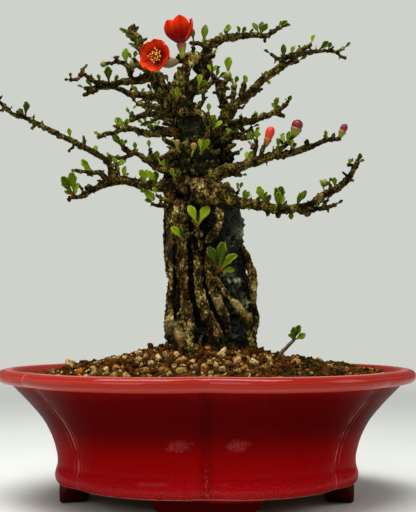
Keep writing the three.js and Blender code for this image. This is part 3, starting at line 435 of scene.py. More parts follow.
def addKnob(shape, centre, sizes, detail=2, rough=0.0):
    made = bmesh.ops.create_icosphere(shape, subdivisions=detail, radius=1)
    for vert in made["verts"]:
        swell = 1 + rough * noise.noise(vert.co * 1.7 + Vector(centre))
        vert.co = Vector([c + v * s * swell for c, v, s in zip(centre, vert.co, sizes)]) * mm


def addSpike(shape, base, along, radius, bend=0.25):
    base, along = Vector(base), Vector(along)
    side = along.orthogonal().normalized() * along.length * bend
    knee, wrist = base + along * 0.35 + side * 0.3, base + along * 0.7 + side * 0.3
    route = [base - along * 0.15, knee, wrist, base + along]
    addTube(shape, route, [radius * 1.25, radius * 0.9, radius * 0.6, radius * 0.18], sides=7, step=0.8)


# Bark of the trunk, the roots and the twigs
def barkFinish(name, tones, green, mossShare, size):
    finish = Finish(name, Specular_IOR_Level=0.06, Coat_Roughness=0.3)
    relief, hollow, damp = finish.marked("relief"), finish.marked("hollow"), finish.marked("damp")
    worn, pale = finish.marked("worn"), finish.marked("pale")
    grain = finish.noise(1250 * size, 5, 0.62, (1, 1, 0.6))
    flake = finish.cells(620 * size)
    coarse = finish.noise(190 * size, 5, 0.65, (1, 1, 0.5))
    # worn bark gets a flatter, lighter tone: smooth wear, and partly painted sheen
    tone = (relief * 0.8 + grain * 0.5 + (0.4 - flake) * 0.2 - 0.16) * (1 - worn * 0.3) + worn * 0.19
    # pale places: painted highlights on the crests of the burl and the roots
    tone = tone + (coarse - 0.5) * 0.7 + pale * 0.09
    places = (0.28, 0.4, 0.48, 0.57, 0.68, 0.8)
    wood = finish.ramp(tone, *[(place, *colour) for place, colour in zip(places, tones)])
    patch = finish.noise(75 * size, 3)
    warm = finish.mix(finish.level(patch, 0.46, 0.66) * 0.6, wood, tint(132, 82, 26), "OVERLAY")
    mossy = finish.level(finish.noise(130 * size, 4) + damp * 0.3, 0.6, 0.74)
    mossy = mossy * (damp * (1 - mossShare) + mossShare)
    greened = finish.mix(mossy, warm, finish.mix(grain, tint(*green), tint(62, 66, 8)))
    # painted shade: the bark darkens in the fork zone under the branches, over its moss
    crownShade = finish.level(damp, 0.1, 0.9) * finish.level(coarse, 0.7, 0.46) * 0.85
    # painted shade, near black deep in hollows
    shade = finish.level(hollow, 0.1, 0.47) * 0.97
    cut = finish.marked("cut")
    # the rolled rim of the cut is paler at its sides
    paleRim = finish.level(cut, 0.2, 0.5) * finish.level(coarse, 0.34, 0.56) * 0.6
    bark = finish.painted(greened, (crownShade, 6, 8, 0), (shade, 3, 2, 0), (paleRim, 98, 98, 70))
    sawn = finish.noise(260, 4, 0.6, (1, 1, 3))
    face = finish.ramp(sawn, (0.35, 5, 4, 0), (0.52, 20, 16, 4), (0.7, 52, 42, 16))
    coloured = finish.mix(finish.level(cut, 0.6, 0.9), bark, face)
    height = grain * 0.7 + flake * 0.5
    gloss = (worn * 0.12 + finish.level(coarse, 0.5, 0.7) * 0.08) * (1 - finish.level(hollow, 0.1, 0.5))
    return finish.wear(Base_Color=coloured, Roughness=0.86 - relief * 0.25 - worn * 0.22, Coat_Weight=gloss,
                       Normal=finish.bump(height, 0.9, 0.0008 / size))


barkTones = ((5, 4, 0), (31, 21, 2), (58, 45, 8), (95, 80, 31), (148, 129, 72), (206, 190, 136))
twigTones = ((7, 5, 0), (31, 24, 2), (56, 46, 8), (84, 73, 21), (116, 103, 42), (152, 137, 76))
barkMaterial = barkFinish("oldBark", barkTones, (10, 12, 1), 0.3, 1.0)
twigMaterial = barkFinish("twigBark", twigTones, (34, 36, 6), 0.45, 1.3)

# Boles and roots are each a list of radii and a route. Grooves say how wide, how deep and where they run,
# worn where the bark is smooth, with partly painted sheen, pale where highlights are painted, and how far
# round
trunk = {
    "boles": [
        ([7.5, 10, 12.2, 11.6, 10.5, 9.8, 8.2, 6], [(-6, -4, 160), (-5, -7, 176), (-4, -9, 192),
            (-6, -7, 203), (-8, -4, 216), (-11, -3, 227), (-17, -3, 237), (-23, -3, 243)]),
        ([7, 5.2, 4.4, 3.6], [(-16, -3, 233), (-24, -4, 240), (-28, -5, 247), (-32, -6, 255)]),
        ([5.5, 4, 3.4, 3.6, 4, 4], [(-15, -2, 238), (-11.5, 1, 246), (-6.5, 2, 252.5), (-1.8, 2, 257.5),
            (-0.6, 2, 264), (-2, 2, 270)]),
        ([3.6, 3.2, 3, 3.2], [(-16, -4, 241), (-14, -7, 250), (-13, -7, 258), (-10, -4, 265)]),
        ([4, 4.2, 3.3, 2.9, 2.4], [(-2, 2, 267), (-8, -3, 267), (-12, -4, 266.4), (-15, -5, 265.8),
            (-18.6, -5, 266.6)]),
        ([6, 5, 4, 3.4, 3.2], [(-4, -3, 210), (1, 0, 216), (5, 1, 221), (9, 2, 227), (12, 1, 233)]),
        ([4, 5.6, 5, 4.2, 3.4], [(-16, -4, 206), (-20, -6, 192), (-20, -7, 178), (-20, -8, 164),
            (-20, -8, 148)]),
        ([3.4, 2.6, 2], [(-20, -5, 242), (-18.4, -7, 250), (-17.5, -8, 256)]),
        ([3.2, 2.8, 2.4], [(-11.6, -14, 188), (-12, -19, 196), (-12, -20, 201.6)]),
        ([1.3, 1.2, 1.3, 1.2, 1.2], [(-24, -5, 187), (-25, -4, 172), (-25, -4, 158), (-24.6, -4, 146),
            (-23.6, -6, 136)]),
    ],
    "roots": [
        ([4.5, 2.7, 2.5, 2.4, 2.8, 3.3, 3.9, 4.2, 3.9, 3], [(-15, -10, 179), (-20.4, -12, 158),
            (-20.6, -12, 144), (-20.2, -12, 134), (-21.4, -12, 118), (-22, -14, 109.5), (-20.9, -17, 103.8),
            (-17.4, -20, 99), (-12.9, -22.5, 94), (-8, -23, 84)]),
        ([6, 4.2, 4.7, 4.9, 4.1, 4.2, 4.9, 5, 4.2, 3], [(-11, -11, 174), (-14.4, -14, 153),
            (-13.6, -15, 141), (-13.2, -16, 133), (-11.8, -16, 125), (-11.2, -17, 117), (-12.8, -18.5, 108),
            (-11.8, -18.5, 102), (-10.8, -18, 96), (-10, -17, 80)]),
        ([4, 3.7, 3.9, 3.9, 3.8, 4, 4.3, 3.6], [(-4.6, -12, 168), (-6.4, -16, 147), (-6.4, -17, 137),
            (-4.8, -18, 124), (-1.6, -19, 113), (2.4, -20, 104), (6.4, -22, 95), (9, -23, 76)]),
        ([3.4, 2.7, 2.8, 3, 3.1, 2.4, 2], [(-1, -11, 148), (0.8, -16, 134), (2.8, -17, 126), (6, -18, 119),
            (9.4, -18, 112), (11.2, -19, 106), (12.4, -19, 99)]),
        ([2.6, 2, 2, 2.3, 2.7, 3.5, 2.4, 2.2], [(1, -11, 141), (4.4, -15, 133), (8.6, -16, 126),
            (13, -16, 120.4), (18.6, -16, 115), (23, -15, 109), (26, -14, 101), (26.6, -13, 76)]),
        ([2, 2.4, 2.6, 2.7, 2.6, 2.8, 2.9, 2.6, 2], [(17, 6, 160), (20.4, 3, 152), (23.8, 0, 145),
            (27, -2, 137), (28, -3, 128), (27.6, -3, 118), (28.6, -3, 108), (27.8, -4, 98),
            (27.4, -5, 76)]),
        ([3, 2.5, 2.6, 2.7, 2.5, 2], [(0, -15, 175), (5.4, -17, 172.4), (8.2, -17.4, 168),
            (7, -17.4, 162.6), (3.6, -17, 157.6), (-0.4, -15, 153)]),
        ([1.1, 1.1, 0.9], [(24, -2, 141), (26.4, -5, 132), (27.4, -6, 124)]),
        ([1, 1.1, 0.9], [(-2.2, -21, 98), (-4.6, -22, 91.6), (-6.6, -22.5, 84)]),
        ([1.2, 1, 1.1], [(3, -15, 137), (6.6, -17, 138.4), (9.4, -16.6, 134)]),
    ],
    "knobs": [
        ((0.6, -17, 182.8), (10.4, 9.6, 7.8)), ((9.6, -15, 182), (6.6, 6, 6)), ((-14, -14, 191), (6, 5, 7)),
        ((-10, -11, 225), (6.2, 5, 6.2)), ((-22, -8, 186), (5, 5, 6)), ((-3, -14, 205), (6, 5, 6)),
        ((23, -15, 109), (3.9, 3.7, 3.5)), ((-30, -5, 254), (4.6, 4.2, 4)), ((-3, 2, 262), (5.4, 5, 4.4)),
        ((7, 2, 214), (7.6, 6, 7.6)), ((11, 3, 206), (5.6, 5, 4.6)), ((12.6, 0, 215), (3.6, 4, 3)),
        ((-6.4, -16.8, 148.8), (4.2, 3.2, 3.6)), ((-9.8, -16.8, 156.8), (3.6, 2.8, 2.2)),
        ((-23.4, -6, 148), (2.2, 4, 6)), ((7.6, -16.6, 165), (2.9, 2.6, 2.4)),
        ((5, -17, 160), (2.8, 2.4, 2.2)), ((-13.6, -18, 137), (4.8, 3, 6)),
    ],
    "voxel": 0.5, "keep": 0.55, "flake": 0.5, "ridge": 0.7, "wart": 0.9, "warts": 100, "slim": 0.96,
    "cut": ((-9.9, 224.8), (6.9, 4.8), -14.6), "mossAndShadeZone": (192, 236),
    "grooves": [
        (1.1, 1.5, [(-9.4, -22, 193), (-10.6, -23, 186), (-10.4, -23, 180), (-9, -22, 175)]),
        (1.3, 2.6, [(-9.2, -21, 173), (-9.4, -20, 166), (-9, -20, 160.5)]),
        (1.1, 2.8, [(-9.2, -20, 151), (-9.7, -20, 142), (-9.2, -20, 130), (-8, -22, 118)]),
        (1.2, 2.2, [(-9.4, -21, 154.4), (-6, -23, 155.6), (-2.8, -22, 154.6)]),
        (1.7, 3.0, [(-9, -22, 192.6), (0, -25, 193), (9, -22, 191), (16, -16, 187)]),
        (1.3, 2.0, [(-8, -24, 176), (-3, -25, 173.6), (3, -25, 173), (9, -22, 174.6), (14, -19, 177)]),
        (2.4, 4.2, [(-1.4, -18, 167), (-1.2, -18, 161.4)]),
        (2.2, 4.0, [(-8.4, -18, 156), (-6.8, -18, 150)]),
        (1.4, 2.4, [(-17.6, -18, 160), (-18, -16, 148), (-17.4, -15, 134), (-17.4, -18, 120),
            (-16, -20, 108)]),
    ],
    "worn": [
        ((-21, -15, 104), 8), ((-16, -21, 98), 7), ((17, -18, 116), 6), ((23, -18, 109), 6),
        ((28, -5, 122), 7), ((8, -20, 116), 4), ((-20, -12, 152), 8),
    ],
    # where highlights are painted on the crests, and how far round
    "pale": [
        ((2, -26, 183), 9), ((-21, -15, 104), 9), ((-15, -20, 136), 8), ((14, -18, 119), 12),
        ((7, -20, 166), 8), ((0, -22, 118), 9), ((-11, -24, 98), 9), ((28, -5, 132), 9), ((-5, -24, 88), 6),
        ((-7, -20, 142), 7),
    ],
}


def grooveAt(place):
    deep = 0
    for wide, depth, line in trunk["grooves"]:
        for start, end in zip(line, line[1:]):
            a, b = Vector(start), Vector(end)
            part = min(1, max(0, (place - a).dot(b - a) / (b - a).length_squared))
            off = place - a.lerp(b, part)
            away = math.hypot(off.x, off.z) / wide if abs(off.y) < 9 else 9
            deep = max(deep, depth * math.exp(-away * away))
    return deep


def nearAny(key, place):
    return max(smooth(1.4 - (place - Vector(centre)).length / reach) for centre, reach in trunk[key])


def wornAndSheenAt(place):
    return nearAny("worn", place)


# Flakes with cracks between them, over long ridges that run with the wood
def barkRelief(flake, ridge, run, worn=lambda place: 0.2, groove=lambda place: 0):
    def at(place, normal):
        lengthwise = Vector((place.x * run[0], place.y * run[1], place.z * run[2]))
        swell = noise.fractal(lengthwise * 0.24, 0.8, 2.2, 3) * ridge
        near = noise.voronoi(lengthwise * 0.62 + noise.noise_vector(place * 0.25) * 0.5)[0]
        plate = min(1, (near[1] - near[0]) * 2.4)
        fine = noise.fractal(place * 0.8, 0.8, 2.2, 3)
        rough = flake * (1 - 0.55 * worn(place))
        high = swell + (plate - 0.55) * rough + fine * rough * 0.75
        return high - groove(place) * max(0, -normal.y), 0.5 + high / (2.2 * (flake + ridge))
    return at


def sawCut(mesh):  # the healed cut that faces the front: a flat dark face in a rolled rim
    (x, z), (wide, tall), depth = trunk["cut"]
    face = np.zeros(len(mesh.vertices))
    for i, vert in enumerate(mesh.vertices):
        away = math.hypot((vert.co.x / mm - x) / wide, (vert.co.z / mm - z) / tall)
        away *= 1 + 0.22 * noise.noise(Vector((vert.co.x, 0, vert.co.z)) * 260)
        if away > 1.5 or vert.co.y > -7 * mm:
            continue
        up, aside = (vert.co.z / mm - z) / tall, abs(vert.co.x / mm - x) / wide
        if away < 1:
            dip = 2.6 * smooth((1 - away) * 2.2)
            vert.co.y = (depth + dip + 0.9 * noise.noise(vert.co * 260) + 0.6 * up) * mm
            face[i] = 1
        else:  # the rim rolls over the top and the sides, and fades out below
            roll = math.sin(math.pi * (away - 1) / 0.5) * smooth((up + 0.75) * 1.4)
            vert.co.y = min(vert.co.y, between(vert.co.y, (depth - 0.1) * mm, roll))
            face[i] = 0.4 * roll * smooth(aside * 1.6 - 0.5)
    mark(mesh, "cut", face)


def trunkMesh():
    rng = random.Random(5)

    def build(shape):
        spots = []
        for thick, route in trunk["boles"]:
            spots += addTube(shape, route, thick, sides=22, gnarl=0.2, pace=0.16)
        for thick, route in trunk["roots"]:
            slim = [radius * trunk["slim"] for radius in thick]
            spots += addTube(shape, route, slim, sides=16, gnarl=0.22, pace=0.2)
        for centre, sizes in trunk["knobs"]:
            addKnob(shape, centre, sizes, 3, 0.22)
        for place, radius in rng.sample(spots, trunk["warts"]):
            out = Vector((rng.gauss(0, 1), rng.gauss(-0.5, 1), rng.gauss(0, 1))).normalized()
            size = trunk["wart"] * rng.uniform(0.6, 1.5)
            addKnob(shape, place + out * radius * 0.9, (size, size, size * 1.3), 1)
    mesh = fused("trunk", build, trunk["voxel"])
    carved(mesh, barkRelief(trunk["flake"], trunk["ridge"], (1, 1, 0.5), wornAndSheenAt, grooveAt))
    sawCut(mesh)
    mesh = thinned(mesh, trunk["keep"])
    # the fork zone high on the trunk, where moss grows and where shade is painted
    low, high = trunk["mossAndShadeZone"]
    mark(mesh, "damp", [smooth((vert.co.z / mm - low) / 7) * smooth((high - vert.co.z / mm) / 16)
                        for vert in mesh.vertices])
    mark(mesh, "worn", [wornAndSheenAt(vert.co / mm) for vert in mesh.vertices])
    mark(mesh, "pale", [nearAny("pale", vert.co / mm) for vert in mesh.vertices])
    return mesh


# Rock: the same rows as the solid, each height, centre, half width and half depth, with a hewn face
rock = {
    "rows": [
        (71, 1, 24, 19), (86, 1, 27, 23), (101, 1.5, 27, 22), (116, 2, 25.5, 20), (131, 2, 25, 19),
        (145, 1.4, 23.5, 17), (159, 0.6, 22, 17), (172, -0.6, 21.5, 15), (181, -2.6, 21, 15),
        (188, -6, 18.5, 14), (196, -10, 16.5, 12.5), (203, -14, 13, 10), (208, -16, 9, 7), (211, -16, 5, 4),
    ],
    "back": 7, "sides": 110, "steps": 9, "facet": 3.0, "rough": 2.0, "voxel": 0.66, "keep": 0.6,
}


def rockMesh():
    rows = []
    for low, high in zip(rock["rows"], rock["rows"][1:]):
        for k in range(rock["steps"]):
            rows.append([between(a, b, k / rock["steps"]) for a, b in zip(low, high)])
    rows.append(rock["rows"][-1])

    def build(shape):
        rings = []
        for height, x, halfWidth, halfDepth in rows:
            ring = []
            for i in range(rock["sides"]):
                turn = 2 * math.pi * i / rock["sides"]
                y = rock["back"] + math.sin(turn) * halfDepth
                ring.append(shape.verts.new(Vector((x + math.cos(turn) * halfWidth, y, height)) * mm))
            rings.append(ring)
        skinRings(shape, rings)

    def hewn(place, normal):
        near = noise.voronoi(place * 0.075 + noise.noise_vector(place * 0.04) * 0.35)[0]
        small = noise.voronoi(place * 0.23)[0]
        facet = (0.45 - near[0]) * rock["facet"] * 2 + (0.4 - small[0]) * rock["facet"] * 0.7
        fine = noise.fractal(place * 0.45, 0.7, 2.2, 4) * rock["rough"]
        high = facet + fine
        return high, 0.5 + high / 9
    return thinned(carved(fused("rock", build, rock["voxel"]), hewn), rock["keep"])


def rockFinish():
    finish = Finish("wetRock", Specular_IOR_Level=0.22)
    relief = finish.marked("relief")
    grain = finish.noise(420, 6, 0.7)
    stone = finish.ramp(relief * 0.7 + grain * 0.5, (0.34, 3, 6, 2), (0.5, 18, 28, 14),
                        (0.6, 40, 52, 30), (0.72, 80, 88, 56), (0.84, 156, 160, 128))
    moss = finish.level(finish.noise(95, 4) + finish.axis("Z") * 3.2, 0.96, 1.1) * 0.95
    mossTone = finish.ramp(finish.noise(900, 3), (0.3, 6, 8, 1), (0.55, 24, 28, 5), (0.75, 60, 64, 18))
    coloured = finish.mix(moss, stone, mossTone)
    # pale flecks on the stone, kept to the raised lumps as painted highlights
    fleck = finish.level(finish.noise(700, 3, 0.6), 0.6, 0.7) * finish.level(relief, 0.4, 0.6)
    # painted shade, near black deep in the hollows
    shade = finish.level(finish.marked("hollow"), 0.06, 0.4) * 0.96
    shaded = finish.painted(coloured, (fleck * 0.6, 122, 126, 84), (shade, 2, 3, 0))
    rough = 0.34 + finish.noise(240, 3) * 0.4
    return finish.wear(Base_Color=shaded, Roughness=rough, Normal=finish.bump(grain, 0.9, 0.0012))


bareRock, bareTrunk = rockMesh(), trunkMesh()
# how deep in hollows the rock and the trunk lie, for painted shade
hollows(bareRock, 13, bareTrunk)
hollows(bareTrunk, 9, bareRock)
# the grooves get more painted shade
deeper = bareTrunk.attributes["hollow"].data
for vert, cell in zip(bareTrunk.vertices, deeper):
    cell.value += 0.11 * grooveAt(vert.co / mm)
newPiece("stone", bareRock, rockFinish(), "rock", "rock")
newPiece("trunk", bareTrunk, barkMaterial, "bark", "trunk_and_roots")
print("trunk, roots and rock")


# Leaves: a spoon-shaped blade with a toothed tip, a sunk midrib and a narrow stalk, one unit long
leaf = {
    "rows": 9, "columns": 2, "widest": 0.70, "stalk": 0.05, "halfWidth": 0.19, "thick": 0.045,
    "kinds": [(0.16, 0.16, 4), (-0.10, 0.34, 5), (0.30, 0.42, 4), (0.05, 0.6, 3), (-0.22, 0.24, 5)],
    "openTurn": 0.35,
}


def leafHalfWidth(along):
    if along < 0.26:
        return between(leaf["stalk"], leaf["stalk"] * 0.8, along / 0.26)
    if along < leaf["widest"]:
        part = smooth((along - 0.26) / (leaf["widest"] - 0.26))
        return between(leaf["stalk"] * 0.8, leaf["halfWidth"], part)
    rest = (along - leaf["widest"]) / (1 - leaf["widest"])
    return leaf["halfWidth"] * math.sqrt(max(0, 1 - rest ** 2.4))


def leafKind(index, curl, fold, teeth):
    rows, columns = leaf["rows"], leaf["columns"]
    verts, uvs = [], []
    for i in range(rows + 1):
        along = 1 - (1 - i / rows) ** 1.25
        half = leafHalfWidth(min(along, 0.985))
        tooth = 1 + 0.16 * smooth((along - 0.5) / 0.3) * math.cos(2 * math.pi * teeth * along)
        for k in range(-columns, columns + 1):
            side = k / columns
            x = side * half * (tooth if abs(side) == 1 else 1)
            y = along - (abs(side) ** 3) * 0.03 * smooth((along - 0.7) / 0.3)
            z = curl * along ** 2 + fold * abs(side) * half * 1.9
            z += 0.012 * math.sin(along * 26) * abs(side) * smooth(along * 3 - 1)
            verts.append((x, y, z))
            uvs.append((side * 0.5 + 0.5, along))
    return sheetMesh(f"leafKind{index}", "leafUv", verts, gridFaces(0, rows, 2 * columns + 1), uvs,
                     ("SOLIDIFY", {"thickness": leaf["thick"], "offset": 0}))


def kindsIn(name, meshes):  # a hidden shelf of shapes that a spray picks from
    shelf = bpy.data.collections.new(name)
    for i, mesh in enumerate(meshes):
        shelf.objects.link(bpy.data.objects.new(f"{name}{i:02d}", mesh))
    return shelf


def clearShelf(shelf):
    for one in list(shelf.objects):
        bpy.data.objects.remove(one)
    bpy.data.collections.remove(shelf)


class GrowTree(Tree):  # a Geometry Nodes tree with named inputs, which ends in plain painted geometry
    def __init__(self, name, **inputs):
        group = bpy.data.node_groups.new(name, "GeometryNodeTree")
        group.is_modifier = True
        for label, kind in inputs.items():
            group.interface.new_socket(label, in_out="INPUT", socket_type="NodeSocket" + kind)
        group.interface.new_socket("Mesh", in_out="OUTPUT", socket_type="NodeSocketGeometry")
        super().__init__(group)
        given = group.nodes.new("NodeGroupInput")
        self.given = [Flow(self, socket) for socket in given.outputs[:len(inputs)]]

    def stand(self, points, shapes, kind, turn, scale):  # one kind from a shelf on each point
        picked = self.node("GeometryNodeCollectionInfo", {}, {0: shapes, 1: True, 2: True})
        rotation = self.node("FunctionNodeEulerToRotation", {}, {0: turn})
        return self.node("GeometryNodeInstanceOnPoints", {}, {
            "Points": points, "Instance": picked, "Pick Instance": True, "Instance Index": kind,
            "Rotation": rotation, "Scale": scale})

    def ended(self, instances, finish):
        whole = self.node("GeometryNodeRealizeInstances", {}, {0: instances})
        painted = self.node("GeometryNodeSetMaterial", {}, {"Geometry": whole, "Material": finish})
        out = self.tree.nodes.new("NodeGroupOutput")
        self.tree.links.new(painted.socket, out.inputs[0])
        return self.tree


def sprayTree():  # each point says which kind stands on it, how it is turned and how large
    tree = GrowTree("leafSpray", Points="Geometry", Shapes="Collection", Size="Float", Finish="Material")
    points, shapes, size, finish = tree.given

    def stored(kind, key):
        return tree.node("GeometryNodeInputNamedAttribute", {"data_type": kind}, {"Name": key})
    own = stored("FLOAT_VECTOR", "size")
    scale = tree.node("ShaderNodeVectorMath", {"operation": "SCALE"}, {0: own, 3: size})
    sprays = tree.stand(points, shapes, stored("INT", "kind"), stored("FLOAT_VECTOR", "turn"), scale)
    return tree.ended(sprays, finish)


def grown(name, carrier, group, **values):  # runs a tree on a mesh and gives back the plain result
    host = placed(name, carrier)
    modifier = host.modifiers.new("grow", "NODES")
    modifier.node_group = group
    for item in group.interface.items_tree:
        if item.in_out == "INPUT" and item.name in values:
            modifier[item.identifier] = values[item.name]
    return plainMesh(host, name)


def grownFrom(shapes, name, carrier, group, **values):  # the same with a shelf of its own
    shelf = kindsIn("kinds", shapes)
    mesh = grown(name, carrier, group, Shapes=shelf, **values)
    clearShelf(shelf)
    return mesh


def spotMesh(name, spots):  # spots are place, rotation, size, kind and tone
    mesh = meshOf(name, [tuple(spot[0] * mm) for spot in spots], [])
    layers = (("turn", "FLOAT_VECTOR"), ("size", "FLOAT_VECTOR"), ("kind", "INT"), ("tone", "FLOAT"))
    for column, (key, kind) in enumerate(layers, 1):
        layer = mesh.attributes.new(key, kind, "POINT")
        for item, spot in zip(layer.data, spots):
            setattr(item, "vector" if kind == "FLOAT_VECTOR" else "value", spot[column])
    return mesh


def leafFinish():
    finish = Finish("youngLeaf", Subsurface_Weight=0.08, Subsurface_Radius=(0.003, 0.004, 0.001),
                    Subsurface_Scale=0.2, Specular_IOR_Level=0.06)
    across, along, tone = finish.uv("X"), finish.uv("Y"), finish.marked("tone")
    fromRib = finish.math("ABSOLUTE", across - 0.5)
    wave = finish.math("SINE", (along * 1.0 - fromRib * 0.7) * 58)
    veins = finish.level(wave, 0.55, 1.0) * finish.level(along, 0.25, 0.5)
    rib = 1 - finish.level(fromRib, 0.015, 0.06)
    blade = finish.ramp(tone * 0.7 + finish.noise(260, 3) * 0.3, (0.1, 24, 38, 0), (0.34, 50, 68, 1),
                        (0.6, 80, 100, 3), (0.92, 128, 146, 14))
    # a painted highlight along the leaf's edges towards the tip
    edge = finish.level(fromRib, 0.40, 0.5) * finish.level(along, 0.5, 0.9) * 0.4
    foot = 1 - finish.level(along, 0.05, 0.34)
    coloured = finish.painted(blade, (rib * 0.3 + veins * 0.14, 142, 160, 36), (edge, 142, 148, 40),
                              (foot, 104, 54, 22))
    height = 0.5 - rib * 0.5 - veins * 0.25 + finish.noise(1500, 2) * 0.25
    return finish.wear(Base_Color=coloured, Roughness=0.42 + tone * 0.15,
                       Normal=finish.bump(height, 0.5, 0.0004))


leafMaterial = leafFinish()
leafShelf = kindsIn("leafKinds", [leafKind(i, *kind) for i, kind in enumerate(leaf["kinds"])])
leafSpray = sprayTree()


def turnTo(way, face):  # the rotation that lays +Y on way and +Z near face
    way = way.normalized()
    across = way.cross(face).normalized()
    return Matrix((across, way, across.cross(way))).transposed().to_euler()


def tuftSpots(tufts, rng, isOpen):
    spots = []

    def addLeaf(foot, way, face, size):
        spots.append((foot, turnTo(way, face), size, rng.randrange(len(leaf["kinds"])), rng.random()))
    for foot, *tips in tufts:
        foot = Vector(foot)
        for dx, dz in tips:
            way = Vector((dx, rng.uniform(-0.45, 0.25) * math.hypot(dx, dz), dz))
            face = Vector((rng.uniform(-0.7, 0.7), -0.9, rng.uniform(0, 0.6)))
            if isOpen:
                face.x *= leaf["openTurn"]
            length = math.hypot(dx, dz) * 0.98
            wide = rng.uniform(0.86, 1.12) * (1.12 if length < 8 else 1.0)
            addLeaf(foot, way, face, Vector((length * wide, length, length)))
        mean = sum(math.hypot(dx, dz) for dx, dz in tips) / len(tips)
        if rng.randint(0, 1):  # a smaller leaf behind
            way = Vector((rng.uniform(-0.7, 0.7), rng.uniform(0.5, 1.0), rng.uniform(0.3, 1.1)))
            length = mean * rng.uniform(0.45, 0.8)
            face = Vector((rng.uniform(-0.5, 0.5), -0.6, 0.8))
            addLeaf(foot, way, face, Vector((length * 1.05, length, length)))
    return spots


def makeLeaves(name, tufts, seed, owner, isOpen=False):
    spots = tuftSpots(tufts, random.Random(seed), isOpen)
    mesh = grown(name, spotMesh(name, spots), leafSpray, Shapes=leafShelf, Size=mm, Finish=leafMaterial)
    newPiece(name, mesh, None, "leaf", owner)


